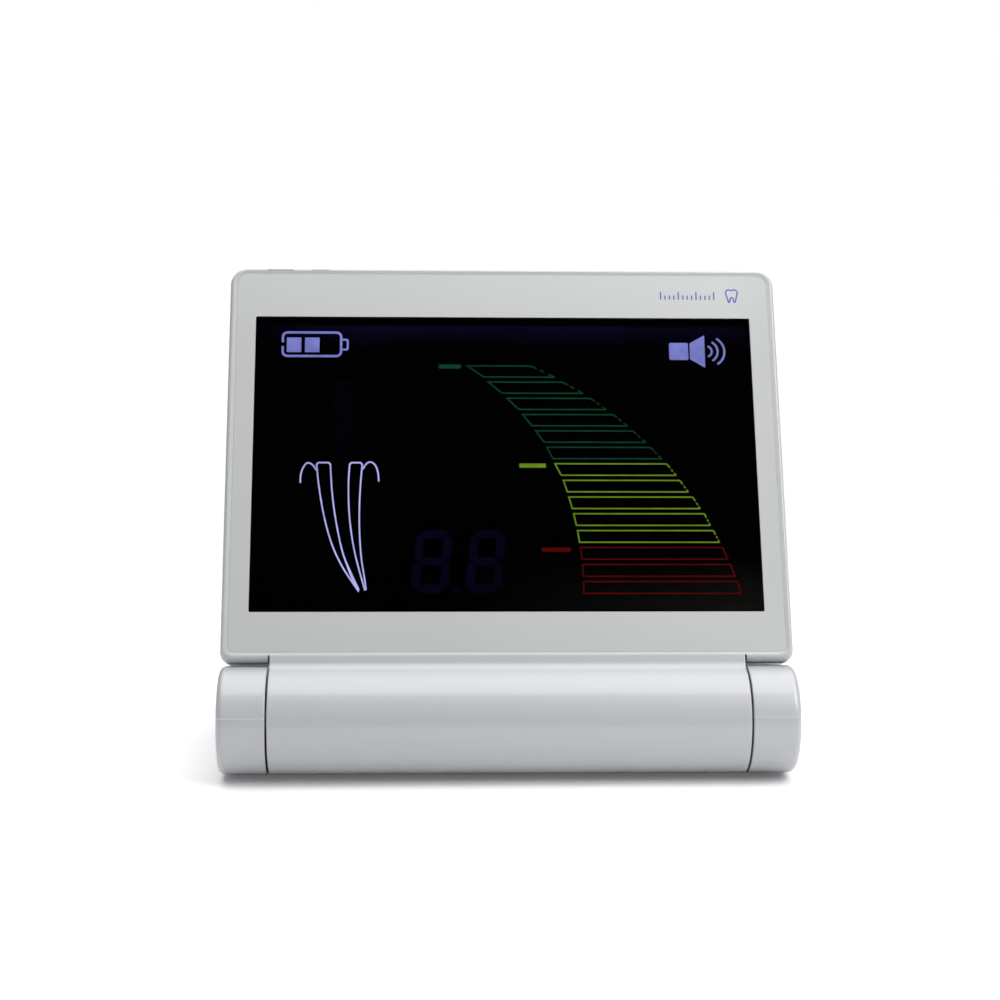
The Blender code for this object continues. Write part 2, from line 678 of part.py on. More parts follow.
bottom = base_solid()
top = copy_of(bottom, "top")
for side, sign in SIDES.items():
    name = "hinge_cover_" + side
    cover = keep(copy_of(bottom, name),
                 box("cover_box", x=side_span(sign, 40, 60), y=(-20, 20), z=(COVER_Z, 20)))
    finish(cover, name, SHELL, base)
keep(top, plate("top_box", TOP_PLAN, BASE_PARTING, 0.0))
cut(bottom, box("above", x=(-70, 70), y=(-30, 110), z=(COVER_Z - GAP, 30)),
    plate("top_clear", TOP_CLEARANCE, BASE_PARTING - GAP, 1.0))

for at in BASE_SCREWS:
    join(top, upright("boss", 2.3, -7.9, -3.3, at, 12))
    cut(top, upright("boss_hole", 0.95, -9.0, -4.2, at, 10))
    join(bottom, upright("cup", 3.0, -9.4, -8.2, at, 14))
    cut(bottom, upright("head_hole", 2.1, -12, -9.0, at, 18),
        upright("shank_hole", 1.1, -10, -7, at, 10))
for at in FEET:
    cut(bottom, upright("foot_seat", 3.3, -12, -10.0, at, 20))
for sign in SIDES.values():
    at = (sign * LEAF_SCREW_X, 0.0)
    join(bottom, upright("leaf_post", 1.9, -9.6, -7.85, at, 12))
    cut(bottom, upright("post_hole", 0.8, -9.2, -6, at, 8))

# battery bay, open at the rear edge, with a rebate for the door
cut(bottom, box("bay", around(0, BAY_HALF), y=(DOOR_FRONT, 100), z=(-14, BAY_ROOF)),
    box("bay_rebate", around(0, REBATE_HALF), y=(DOOR_FRONT - 1.2, 100), z=(-9.8, BAY_ROOF)))
# sound holes under the buzzer: a ring of six and one in the middle
for dx, dy in arc((0, 0), SOUND_RING_R, 0, 300, 5) + [(0, 0)]:
    cut(bottom, upright("sound_hole", 0.6, -12, -8, (BUZZER_AT[0] + dx, BUZZER_AT[1] + dy), 8))

finish(bottom, "base_bottom_shell", SHELL, base)
finish(top, "base_top_shell", SHELL, base)

# ---------------------------------------------------------------- battery door
DOOR_HALF = BAY_HALF - GAP
TONGUE_HALF = REBATE_HALF - GAP
GRIP_FIRST_Y, GRIP_PITCH, GRIP_WIDTH = 44.0, 2.2, 0.9
# (x, z) section with a tongue along each side
DOOR_SECTION = [(-DOOR_HALF, BASE_BOTTOM), (DOOR_HALF, BASE_BOTTOM), (DOOR_HALF, -9.62),
                (TONGUE_HALF, -9.54), (TONGUE_HALF, -8.8), (-TONGUE_HALF, -8.8),
                (-TONGUE_HALF, -9.54), (-DOOR_HALF, -9.62)]

door = plate("door", DOOR_SECTION, DOOR_FRONT + GAP, BASE_REAR, "XZ")
bevel(door, 1.0, 3, lambda a, b: (min(a.y, b.y) > BASE_REAR - EDGE_TOL
                                  and max(a.z, b.z) < BASE_BOTTOM + EDGE_TOL))
for k in range(4):
    y = GRIP_FIRST_Y + GRIP_PITCH * k
    cut(door, box("grip", x=(-6.5, 6.5), y=(y, y + GRIP_WIDTH), z=(-12, BASE_BOTTOM + 0.35)))
finish(door, "battery_door", SHELL, base, (0, DOOR_FRONT, BASE_BOTTOM))

# ================================================================ base contents
cell = plate("cell", rounded_rectangle(-17, 17, 40, 90, 1.2, 3), -8.2, -4.0)
bevel(cell, 0.8, 2, level_in("z"))
finish(cell, "battery_pack", CELL, base)

# main board, its chips and the battery plug
CHIP_SEAT = -5.95        # underside of the parts above the main board
main = plate("main", rounded_rectangle(-40.5, 40.5, 14.0, 36.0, 1.0, 3), -7.1, -6.1)
cut(main, *[upright("board_hole", 1.2, -9, -4, at, 14) for at in ((-37, 17), (37, 33))])
finish(main, "main_board", BOARD, base)
chip("measuring_chip", x=(-8, 2), y=(20, 30), z=(CHIP_SEAT, -4.7), chamfer=0.2, parent=base)
chip("charger_chip", x=(14, 20), y=(22, 27), z=(CHIP_SEAT, -4.9), chamfer=0.15, parent=base)
plug = box("plug", x=(-4.0, 4.0), y=(32.0, 35.8), z=(CHIP_SEAT, -4.2))
cut(plug, box("plug_bay", x=(-3.2, 3.2), y=(33.2, 37.0), z=(-5.4, -4.6)))
finish(plug, "battery_connector", LIGHT, base)

# round socket in the left wall
jack = box("jack", x=(-54.1, -40.9), y=around(SOCKET_Y, 3.4), z=(-8.8, -3.95))
join(jack, rod("jack_nose", 2.6, -55.9, -53.8, 24, "X", (SOCKET_Y, SOCKET_Z)))
cut(jack, rod("jack_bore", 1.75, -60, -43, 18, "X", (SOCKET_Y, SOCKET_Z)))
finish(jack, "measuring_socket", SOCKET, base)

# flat socket in the right wall
usb = plate("usb", usb_outline(0.0), 48.5, 55.8, "YZ")
cut(usb, plate("usb_bore", usb_outline(-0.35), 49.6, 57, "YZ"))
join(usb, box("tongue", x=(49.0, 55.0), y=around(SOCKET_Y, 3.2), z=around(SOCKET_Z, 0.35)))
finish(usb, "charging_socket", PLATED, base)

buzzer = upright("buzzer", 6.0, -8.8, -5.2, BUZZER_AT, 24)
bevel(buzzer, 0.4, 1, level_in("z"))
cut(buzzer, upright("buzzer_port", 1.2, -10, -7.0, BUZZER_AT, 10))
finish(buzzer, "buzzer", CHIP, base)

for k, at in enumerate(FEET, 1):
    foot_bottom = BASE_BOTTOM - FOOT_LIFT
    foot = upright("foot", 3.0, foot_bottom, -10.05, at, 20, 3.1)
    bevel(foot, 0.3, 1, at_bottom(foot_bottom))
    finish(foot, "rubber_foot_%d" % k, RUBBER, base, (*at, BASE_BOTTOM))

for k, at in enumerate(BASE_SCREWS, 1):
    screw("base_screw_%d" % k, at, head_z=-10.2, tip_z=-4.6, head_r=1.85, parent=base)

# screws that hold the hinge leaves down, heads up
LEAF_SCREW_TOP = -5.9
for side, sign in SIDES.items():
    at = (sign * LEAF_SCREW_X, 0.0)
    bolt = upright("bolt", 1.5, -6.55, LEAF_SCREW_TOP, at, 14)
    bevel(bolt, 0.25, 1, at_top(LEAF_SCREW_TOP))
    join(bolt, upright("bolt_shank", 0.65, -8.7, -6.3, at, 8))
    finish(bolt, "leaf_screw_" + side, SCREW, base, (*at, -6.6))

# ================================================================ cables
# (x, y, z) stations: through the right shaft to the driver board, and to the main board
DISPLAY_CABLE = [(52.0, 0, 0), (46, 0, 0), (39, 0, 0), (34, 0.8, 0.2),
                 (30, 4.2, 0.8), (28, 8.6, 1.3), (27, 12.0, 1.5), (26, 15.5, 1.5)]
BASE_CABLE = [(52.4, 0, 0), (53.5, 0.6, -0.7), (53.5, 2.6, -3.2),
              (53.4, 5.4, -5.2), (52.6, 9.6, -5.6), (50.4, 13.4, -5.4),
              (46.0, 14.6, -5.1), (42.0, 16.0, -5.0), (38.0, 17.4, -5.0)]
cable("display_harness", DISPLAY_CABLE, display)
cable("base_harness", BASE_CABLE, base)

bpy.context.view_layer.update()
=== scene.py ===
"""Looks of a folding apex locator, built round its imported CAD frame.

Lengths are in mm unless a comment says metres; MM turns them into metres. Both halves are laid
out from the hinge axis, which runs along X. In the base, y runs to the rear and z up. In the
display, y runs up the panel and z (the "level") out of its front face; the whole display is then
swung up by TILT about the axis. Negative x is the left side as seen from the front.
"""

import json
import math

import bmesh
import bpy
from mathutils import Matrix, Vector


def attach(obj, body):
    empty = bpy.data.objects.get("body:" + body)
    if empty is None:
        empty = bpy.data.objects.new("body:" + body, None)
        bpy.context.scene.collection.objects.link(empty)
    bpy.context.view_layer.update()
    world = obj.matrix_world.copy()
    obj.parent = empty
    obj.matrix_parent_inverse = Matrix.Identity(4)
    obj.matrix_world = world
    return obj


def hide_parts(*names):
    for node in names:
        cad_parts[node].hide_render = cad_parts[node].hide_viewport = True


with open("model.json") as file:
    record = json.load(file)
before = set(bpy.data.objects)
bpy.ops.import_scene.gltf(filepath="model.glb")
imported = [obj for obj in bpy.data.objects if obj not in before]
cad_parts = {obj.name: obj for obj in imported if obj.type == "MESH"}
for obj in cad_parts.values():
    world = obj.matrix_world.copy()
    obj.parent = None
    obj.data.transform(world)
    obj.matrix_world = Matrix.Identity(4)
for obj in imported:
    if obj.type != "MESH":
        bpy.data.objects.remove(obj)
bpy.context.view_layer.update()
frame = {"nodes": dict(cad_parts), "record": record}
MM = 0.001

# ================================================================ layout shared by the pieces
hinge = next(j for j in frame["record"]["behaviour"]["joints"] if j["name"] == "screen_tilt")
AXIS = Vector(hinge["pos_m"])  # metres
TILT = math.radians(64.0)
TO_BASE = Matrix.Translation(AXIS)
TO_DISPLAY = TO_BASE @ Matrix.Rotation(TILT, 4, "X")
PLACES = {"display": TO_DISPLAY, "power_button": TO_DISPLAY, "set_button": TO_DISPLAY,
          "base": TO_BASE, "battery_door": TO_BASE}

HALF_WIDTH = 56.0
CORNER = 3.4  # upper corners of the panel, rear corners of the base
BARREL_RADIUS = 10.5
BARREL_HALF = 46.3  # half length of the display's barrel
CAP_INNER = 46.65  # inner faces of the base's end barrels

# display, levels
RIM_LEVEL = 5.4
BACK_LEVEL = -1.9
LENS_FACE = 5.2
LCD_FACE = 4.56
SPLIT_LEVEL = 1.0
SEAM = 0.02  # half the gap between the two display shells

# display, across and up the panel
PANEL_BOTTOM, PANEL_TOP = 11.05, 93.5
LENS_HALF, LENS_BOTTOM, LENS_TOP = 54.5, 12.2, 92.25
LENS_LOW_CORNER, LENS_TOP_CORNER = 1.3, 2.3
WINDOW_HALF, WINDOW_BOTTOM, WINDOW_TOP = 50.6, 20.3, 82.7
BUTTONS = (("power_button", -45.9), ("set_button", -37.6))  # node, x
DISPLAY_SCREWS = [(-52.0, 15.4), (52.0, 15.4), (-52.0, 88.0), (52.0, 88.0)]

# base
BASE_TOP, BASE_BOTTOM, BASE_REAR = -2.2, -10.5, 93.6
BASE_SPLIT = -6.0  # between top and bottom shell
COVER_Z = 2.74  # lower edge of the hinge covers
SOCKET = (30.0, -6.35)  # y, z of the sockets in both side walls
BASE_SCREWS = [(-50.0, 20.5), (50.0, 20.5), (-50.0, 78.0), (50.0, 78.0)]
FEET = [(-51.0, 6.6), (51.0, 6.6), (-49.0, 87.6), (49.0, 87.6)]
BUZZER = (-36.0, 58.0)
DOOR_FRONT = 37.0


# ================================================================ node materials
class Tree:
    """Adds nodes to a node tree and wires them."""

    def __init__(self, tree):
        self.tree = tree

    def add(self, kind, inputs=None, **settings):
        node = self.tree.nodes.new("ShaderNode" + kind)
        for key, value in settings.items():
            setattr(node, key, value)
        return self.put(node, inputs or {})

    def put(self, node, inputs):
        """Wire sockets to the node's inputs, or set them to plain values."""
        for key, value in inputs.items():
            if isinstance(value, bpy.types.NodeSocket):
                self.tree.links.new(value, node.inputs[key])
            else:
                node.inputs[key].default_value = value
        return node

    def calc(self, operation, first, second=0.0, clamp=False):
        node = self.add("Math", {0: first, 1: second, 2: 0.0}, operation=operation, use_clamp=clamp)
        return node.outputs[0]

    def times(self, first, second):
        return self.calc("MULTIPLY", first, second)

    def plus(self, first, second, clamp=False):
        return self.calc("ADD", first, second, clamp)

    def minus(self, first, second):
        return self.calc("SUBTRACT", first, second)

    def remap(self, value, span, to=(0.0, 1.0)):
        node = self.add("MapRange", {"Value": value, "From Min": span[0], "From Max": span[1],
                                     "To Min": to[0], "To Max": to[1]}, clamp=True)
        return node.outputs[0]

    def separate(self, vector):
        return self.add("SeparateXYZ", {0: vector}).outputs


class Material(Tree):
    """A material whose textures live in object coordinates (metres)."""

    def __init__(self, name):
        self.material = bpy.data.materials.new(name)
        self.material.use_nodes = True
        super().__init__(self.material.node_tree)
        self.bsdf = self.tree.nodes["Principled BSDF"]
        self.out = self.tree.nodes["Material Output"]
        self.coord = self.add("TexCoord").outputs["Object"]

    def noise(self, scale, detail=3.0, rough=0.5, distort=0.0, vector=None):
        node = self.add("TexNoise", {"Vector": vector or self.coord, "Scale": scale,
                                     "Detail": detail, "Roughness": rough, "Distortion": distort})
        return node.outputs["Fac"]

    def mix(self, factor, first, second):
        """Blend two colours, each an RGB tuple or a socket."""
        first, second = (c if isinstance(c, bpy.types.NodeSocket) else (*c, 1.0)
                         for c in (first, second))
        return self.add("Mix", {0: factor, 6: first, 7: second}, data_type="RGBA").outputs[2]

    def bump(self, height, strength, distance, normal=None):
        node = self.add("Bump", {"Height": height, "Strength": strength, "Distance": distance})
        if normal is not None:
            self.put(node, {"Normal": normal})
        return node.outputs["Normal"]

    def round_edges(self, radius):
        return self.add("Bevel", {"Radius": radius}, samples=6).outputs["Normal"]

    def on_panel(self, level):
        """x and the height up the panel, both in metres, of points at this level."""
        offset = self.add("VectorMath", {0: self.coord, 1: AXIS}, operation="SUBTRACT").outputs[0]
        place = self.separate(offset)
        rise = self.calc("DIVIDE", place["Z"], math.sin(TILT))
        return place["X"], self.minus(rise, level * MM / math.tan(TILT))


def moulded(name, colour, rough, grain, coat=0.0, edge=0.00012, vary=0.012):
    """Injection-moulded plastic: spark texture, faint flow marks in the colour, softened edges."""
    mat = Material(name)
    flow = mat.noise(scale=34.0, detail=1.0)
    speck = mat.noise(scale=2600.0, detail=2.0, rough=0.6)
    dark = tuple(c * (1.0 - vary) for c in colour)
    light = tuple(min(1.0, c * (1.0 + vary)) for c in colour)
    base = mat.mix(flow, dark, light)
    wipe = mat.noise(scale=11.0, detail=1.0)
    wipe_depth = 0.01
    edges = mat.round_edges(edge) if edge else None
    mat.put(mat.bsdf, {
        "Base Color": base,
        "Roughness": mat.plus(mat.times(wipe, wipe_depth), rough - wipe_depth / 2),
        "Specular IOR Level": 0.5, "Coat Weight": coat, "Coat Roughness": 0.05,
        "Normal": mat.bump(speck, strength=grain, distance=0.00002, normal=edges)})
    return mat


def shell_plastic(name):
    return moulded(name, colour=(0.423, 0.431, 0.452), rough=0.27, grain=0.004, coat=0.5, edge=0.0,
                   vary=0.005)


def seam_highlight_plastic():
    """Shell plastic with a pale band painted where the hinge covers meet the bottom shell: a painted
    highlight of the seam's edges.
    """
    line_height = AXIS.z + (COVER_Z - 0.02) * MM
    half_width = 0.00011
    highlight_share = 0.55
    mat = shell_plastic("shell_plastic_painted_seam_highlight")
    height = mat.separate(mat.coord)["Z"]
    away = mat.calc("ABSOLUTE", mat.minus(height, line_height))
    line = mat.minus(1.0, mat.remap(away, span=(half_width * 0.4, half_width)))
    plain = mat.bsdf.inputs["Base Color"].links[0].from_socket
    # painted highlight: the pale colour laid along the seam between the hinge covers and the bottom
    # shell
    highlighted = mat.mix(mat.times(line, highlight_share), plain, (0.84, 0.85, 0.87))
    mat.put(mat.bsdf, {"Base Color": highlighted})
    return mat.material


def printed_lens():
    """Hard-coated acrylic back-printed in warm pale grey, with a barely visible tooth."""
    tooth_share = 0.25
    right_shade_step = 0.06
    mat = Material("lens_border_print")
    cloud = mat.noise(scale=26.0)
    tooth = mat.noise(scale=3800.0, detail=1.0)
    colour = mat.mix(mat.remap(cloud, span=(0.3, 0.7)), (0.428, 0.438, 0.431), (0.442, 0.452, 0.446))
    colour = mat.mix(mat.times(mat.remap(tooth, span=(0.4, 0.7)), tooth_share), colour,
                     (0.465, 0.473, 0.468))
    # painted light: the print is made paler along the top, a painted highlight, and darker down the
    # right side, painted shade
    x, height = mat.on_panel(LENS_FACE)
    right = mat.times(mat.remap(x, span=(0.046, 0.053)), mat.remap(height, span=(0.012, 0.024)))
    shading_gain = mat.minus(mat.remap(height, span=(0.079, 0.090), to=(1.0, 1.06)),
                     mat.times(right, right_shade_step))
    scaled = mat.add("VectorMath", {0: colour, "Scale": shading_gain}, operation="SCALE")
    smear = mat.noise(scale=14.0, detail=4.0, rough=0.6, distort=1.0)
    mat.put(mat.bsdf, {
        "Base Color": scaled.outputs[0],
        "Roughness": mat.remap(tooth, span=(0.3, 0.7), to=(0.36, 0.42)),
        "Specular IOR Level": 0.35, "Coat Weight": 1.0, "Coat IOR": 1.42,
        "Coat Roughness": mat.remap(smear, span=(0.3, 0.7), to=(0.035, 0.06)),
        "Normal": mat.round_edges(0.0001)})
    return mat.material


def ink(name, colour, rough=0.6):
    mat = Material(name)
    grain = mat.noise(scale=900.0, detail=2.0)
    mat.put(mat.bsdf, {"Base Color": mat.mix(grain, tuple(c * 0.85 for c in colour), colour),
                       "Roughness": rough,
                       "Normal": mat.bump(grain, strength=0.05, distance=0.00002)})
    return mat.material


def window_pane():
    """Clear pane with a faint anti-reflection sheen and a trace of finger haze."""
    mat = Material("lens_window_clear")
    mat.tree.nodes.remove(mat.bsdf)
    clear = mat.add("BsdfTransparent", {0: (0.96, 0.96, 0.97, 1.0)})
    haze = mat.noise(scale=18.0, detail=5.0, rough=0.6, distort=1.5)
    gloss = mat.add("BsdfGlossy", {
        "Color": (1, 1, 1, 1), "Roughness": mat.remap(haze, span=(0.35, 0.75), to=(0.02, 0.07))})
    # coated: almost nothing comes back square on, more and more towards grazing
    falloff, grazing, square_on = 3.5, 0.7, 0.0004
    facing = mat.add("LayerWeight", {"Blend": 0.5}).outputs["Facing"]
    mirror = mat.plus(mat.times(mat.calc("POWER", facing, falloff), grazing), square_on)
    blend = mat.add("MixShader", {0: mirror, 1: clear.outputs[0], 2: gloss.outputs[0]})
    mat.put(mat.out, {"Surface": blend.outputs[0]})
    return mat.material


def lit_segment(name, colour, uneven=0.16):
    """An LCD segment whose light is a little uneven, as the light guide behind it is."""
    full_strength = 1.0
    mat = Material(name)
    patch = mat.noise(scale=300.0, detail=2.0)
    speck = mat.noise(scale=1500.0, detail=2.0, rough=0.6)
    level = mat.times(mat.remap(patch, span=(0.3, 0.7), to=(1.0 - uneven, 1.0 + uneven)),
                      mat.remap(speck, span=(0.3, 0.7), to=(0.94, 1.06)))
    mat.put(mat.bsdf, {
        "Base Color": (0.0005, 0.0005, 0.0006, 1), "Roughness": 0.4, "Specular IOR Level": 0.0,
        "Emission Color": (*colour, 1.0), "Emission Strength": mat.times(level, full_strength)})
    return mat.material


def lcd_black():
    """The dark LCD: backlight leaks violet along the top and warm grey in the lower right."""
    violet_share, sparkle_share, warm_share, top_power = 0.9, 0.05, 0.8, 1.5
    mat = Material("lcd_black_leak")
    x, height = mat.on_panel(LCD_FACE)
    top = mat.times(mat.calc("POWER", mat.remap(height, span=(0.0757, 0.0809)), top_power),
                    mat.remap(height, span=(0.0808, 0.0813), to=(1.0, 0.0)))
    top = mat.times(top, mat.remap(x, span=(-0.0490, -0.040), to=(0.08, 1.0)))
    top = mat.times(top, mat.remap(x, span=(0.044, 0.051), to=(1.0, 0.3)))
    low = mat.times(mat.remap(height, span=(0.032, 0.020)), mat.remap(x, span=(-0.01, 0.048)))
    cloud = mat.noise(scale=70.0, detail=4.0, rough=0.6)
    sparkle = mat.remap(mat.noise(scale=2600.0, detail=1.0), span=(0.66, 0.8))
    violet = mat.times(top, mat.remap(cloud, span=(0.3, 0.7), to=(0.25, 1.0)))
    warm = mat.times(low, mat.remap(cloud, span=(0.2, 0.7), to=(0.5, 1.0)))
    violet_mix = mat.plus(mat.times(violet, violet_share), mat.times(sparkle, sparkle_share),
                          clamp=True)
    glow = mat.mix(violet_mix, (0.0, 0.0, 0.0), (0.0048, 0.0020, 0.018))
    glow = mat.mix(mat.times(warm, warm_share), glow, (0.009, 0.0075, 0.0068))
    mat.put(mat.bsdf, {
        "Base Color": (0.0003, 0.0003, 0.0004, 1), "Roughness": 0.5, "Specular IOR Level": 0.0,
        "Emission Color": glow, "Emission Strength": 1.0})
    return mat.material


def metal(name, colour, rough, streak=220.0, along=(1.0, 12.0, 12.0)):
    """Brushed and slightly stained metal; along stretches the brush streaks."""
    mat = Material(name)
    mapping = mat.add("Mapping", {"Vector": mat.coord, "Scale": along})
    brush = mat.noise(scale=streak, detail=4.0, rough=0.7, vector=mapping.outputs[0])
    stain = mat.noise(scale=60.0, rough=0.6)
    mat.put(mat.bsdf, {
        "Base Color": mat.mix(mat.remap(stain, span=(0.35, 0.7)),
                              tuple(c * 0.82 for c in colour), colour),
        "Metallic": 1.0,
        "Roughness": mat.remap(brush, span=(0.3, 0.7), to=(rough - 0.07, rough + 0.1)),
        "Normal": mat.bump(brush, strength=0.08, distance=0.00002,
                           normal=mat.round_edges(0.00008))})
    return mat.material


def rubber():
    """Dusty black rubber."""
    mat = Material("foot_rubber_fine")
    grain = mat.noise(scale=1400.0, rough=0.7)
    dust = mat.noise(scale=120.0, rough=0.6)
    mat.put(mat.bsdf, {
        "Base Color": mat.mix(mat.remap(dust, span=(0.45, 0.75)),
                              (0.030, 0.030, 0.033), (0.085, 0.083, 0.08)),
        "Roughness": mat.remap(grain, span=(0.3, 0.7), to=(0.72, 0.9)), "Specular IOR Level": 0.3,
        "Normal": mat.bump(grain, strength=0.35, distance=0.00005,
                           normal=mat.round_edges(0.00015))})
    return mat.material


def board():
    """Solder-masked board: copper tracks show as slightly lighter lanes under the mask."""
    lane_height = 0.7
    mat = Material("circuit_board_fine")
    mapping = mat.add("Mapping", {"Vector": mat.coord, "Rotation": (0.0, 0.0, math.radians(45))})
    wave = mat.add("TexWave", {"Vector": mapping.outputs[0], "Scale": 330.0, "Distortion": 6.0,
                               "Detail": 2.0, "Detail Scale": 0.4}, wave_type="BANDS")
    lane = mat.remap(wave.outputs["Fac"], span=(0.55, 0.7))
    weave = mat.noise(scale=2200.0, detail=1.0)
    relief = mat.plus(mat.times(lane, lane_height), weave)
    mat.put(mat.bsdf, {
        "Base Color": mat.mix(lane, (0.008, 0.085, 0.035), (0.018, 0.16, 0.065)),
        "Roughness": 0.34, "Coat Weight": 0.4,
        "Normal": mat.bump(relief, strength=0.2, distance=0.00003)})
    return mat.material


def wrap():
    """Creased blue film round the cell; its colour is darker where the crease relief is low, painted
    shade in the creases.
    """
    mat = Material("cell_wrap_fine")
    crease = mat.noise(scale=90.0, detail=5.0, rough=0.65, distort=1.6)
    # painted shade: the colour follows the crease relief, darker in its low parts
    mat.put(mat.bsdf, {
        "Base Color": mat.mix(crease, (0.02, 0.06, 0.22), (0.04, 0.11, 0.34)),
        "Roughness": mat.remap(crease, span=(0.3, 0.7), to=(0.28, 0.42)),
        "Normal": mat.bump(crease, strength=0.35, distance=0.00012)})
    return mat.material


shell_mat = shell_plastic("shell_plastic_fine").material
seam_highlight_mat = seam_highlight_plastic()
border_mat = printed_lens()
pane_mat = window_pane()
well_mat = ink("lens_inner_black", (0.0012, 0.0012, 0.0015))
lcd_mat = lcd_black()
violet_mat = lit_segment("segment_violet", (0.195, 0.212, 0.57))
tooth_mat = lit_segment("segment_violet_bright", (0.46, 0.47, 0.92))
deep_mat = lit_segment("segment_dark_green", (0.0040, 0.047, 0.020))
lime_mat = lit_segment("segment_light_green", (0.128, 0.245, 0.014))
red_mat = lit_segment("segment_red", (0.075, 0.0022, 0.0022))
print_mat = ink("border_print_violet", (0.085, 0.095, 0.40), rough=0.45)
ghost_mat = lit_segment("segment_unlit", (0.0015, 0.0006, 0.0070), uneven=0.3)
faint_mat = lit_segment("segment_unlit_faint", (0.0003, 0.0003, 0.0019), uneven=0.4)
key_mat = moulded("key_plastic_fine", (0.40, 0.415, 0.45), rough=0.38, grain=0.2).material
steel_mat = metal("hinge_steel_fine", (0.56, 0.57, 0.58), rough=0.3)
screw_mat = metal("screw_steel_fine", (0.40, 0.405, 0.42), rough=0.3, streak=500.0, along=(1, 1, 1))
plated_mat = metal("plated_socket_fine", (0.74, 0.75, 0.77), rough=0.2)
rubber_mat = rubber()
board_mat = board()
wrap_mat = wrap()
resin_mat = moulded("chip_resin_fine", (0.018, 0.018, 0.02), rough=0.55, grain=0.5).material
guide_mat = moulded("light_guide_fine", (0.82, 0.83, 0.86), rough=0.35, grain=0.2).material
flex_mat = moulded("flex_film_fine", (0.42, 0.18, 0.03), rough=0.3, grain=0.2, coat=0.5).material
jacket_mat = moulded("wire_jacket_fine", (0.028, 0.028, 0.03), rough=0.5, grain=0.5).material
socket_mat = moulded("socket_body_fine", (0.030, 0.030, 0.033), rough=0.4, grain=0.3).material

# ================================================================ outlines
work = bpy.data.collections.new("work")
bpy.context.scene.collection.children.link(work)
fine = bpy.data.collections.new("apex_locator_fine")
bpy.context.scene.collection.children.link(fine)


def span(side, inner, outer):
    """The x range between two distances from the middle, on side -1 or 1."""
    return sorted((side * inner, side * outer))


def arc(centre_x, centre_y, radius, first, last, steps, skip_first=False):
    """Points along an arc; angles in degrees."""
    angles = [math.radians(first + (last - first) * k / steps)
              for k in range(1 if skip_first else 0, steps + 1)]
    return [(centre_x + radius * math.cos(a), centre_y + radius * math.sin(a)) for a in angles]


def rounded_rectangle(left, right, low, high, corners, segments):
    """Counter-clockwise from the lower left; corners is one radius or a list of four."""
    radii = corners if isinstance(corners, list) else [corners] * 4
    points = []
    for (x, y, first), radius in zip([(left, low, 180), (right, low, 270), (right, high, 0),
                                      (left, high, 90)], radii):
        centre_x = x + (radius if x == left else -radius)
        centre_y = y + (radius if y == low else -radius)
        points += arc(centre_x, centre_y, radius, first, first + 90, segments)
    return points


def inset_outline(outline, inset):
    """Move each point square to its neighbours' line, inwards on a counter-clockwise outline."""
    points = []
    for i, point in enumerate(outline):
        ahead = Vector(outline[(i + 1) % len(outline)])
        along = (ahead - Vector(outline[i - 1])).normalized()
        points.append(tuple(Vector(point) + Vector((-along.y, along.x)) * inset))
    return points


def quarter_turn(steps):
    """Pairs falling from 1 to 0 and rising from 0 to 1 round a quarter circle."""
    angles = [math.radians(90 * k / steps) for k in range(steps + 1)]
    return [(1 - math.sin(a), 1 - math.cos(a)) for a in angles]


def soft_levels(low, high, soft, steps):
    """Inset and level of each ring of a solid with both rims rounded."""
    turn = quarter_turn(steps)
    return ([(soft * fall, low + soft * rise) for fall, rise in turn]
            + [(soft * rise, high - soft * fall) for fall, rise in turn])


def ring_at(outline, level, axis="Z"):
    """Place a flat outline across an axis, at a level along it."""
    return [{"Z": (a, b, level), "X": (level, a, b), "Y": (a, level, b)}[axis] for a, b in outline]


# ================================================================ solids
def link(mesh, name):
    obj = bpy.data.objects.new("w_" + name, mesh)
    work.objects.link(obj)
    return obj


def mesh_of(bm, name):
    bmesh.ops.remove_doubles(bm, verts=bm.verts, dist=1e-7)
    bmesh.ops.recalc_face_normals(bm, faces=bm.faces)
    mesh = bpy.data.meshes.new(name)
    bm.to_mesh(mesh)
    bm.free()
    return mesh


def box(name, *ranges):
    """Block from its x, y and z ranges."""
    bm = bmesh.new()
    bmesh.ops.create_cube(bm, size=1.0)
    size = Vector([high - low for low, high in ranges]) * MM
    middle = Vector([high + low for low, high in ranges]) / 2 * MM
    bmesh.ops.scale(bm, vec=size, verts=bm.verts)
    bmesh.ops.translate(bm, vec=middle, verts=bm.verts)
    return link(mesh_of(bm, name), name)


def loft(name, rings, closed=False):
    """Skin through rings of equally many points; closed joins the last ring to the first."""
    bm = bmesh.new()
    rows = [[bm.verts.new(Vector(point) * MM) for point in ring] for ring in rings]
    pairs = list(zip(rows, rows[1:])) + ([(rows[-1], rows[0])] if closed else [])
    count = len(rings[0])
    for lower, upper in pairs:
        for i in range(count):
            j = (i + 1) % count
            bm.faces.new((lower[i], lower[j], upper[j], upper[i]))
    if not closed:
        bm.faces.new(rows[0][::-1])
        bm.faces.new(rows[-1])
    return link(mesh_of(bm, name), name)


def plate(name, outline, low, high, axis="Z", soft=0.0, steps=4):
    """Outline with thickness; soft rounds the rims, and needs it counter-clockwise."""
    if not soft:
        return loft(name, [ring_at(outline, low, axis), ring_at(outline, high, axis)])
    return loft(name, [ring_at(inset_outline(outline, inset), level, axis)
                       for inset, level in soft_levels(low, high, soft, steps)])


def turned(name, profile, segments, axis="X", at=(0.0, 0.0), closed=False):
    """Turn a profile of (radius, place along the axis) points."""
    rings = []
    for radius, level in profile:
        angles = [2 * math.pi * k / segments for k in range(segments)]
        circle = [(at[0] + radius * math.cos(a), at[1] + radius * math.sin(a)) for a in angles]
        rings.append(ring_at(circle, level, axis))
    return loft(name, rings, closed)


def rod(name, radius, ends, segments, axis="X", at=(0.0, 0.0)):
    return turned(name, [(radius, end) for end in ends], segments, axis, at)


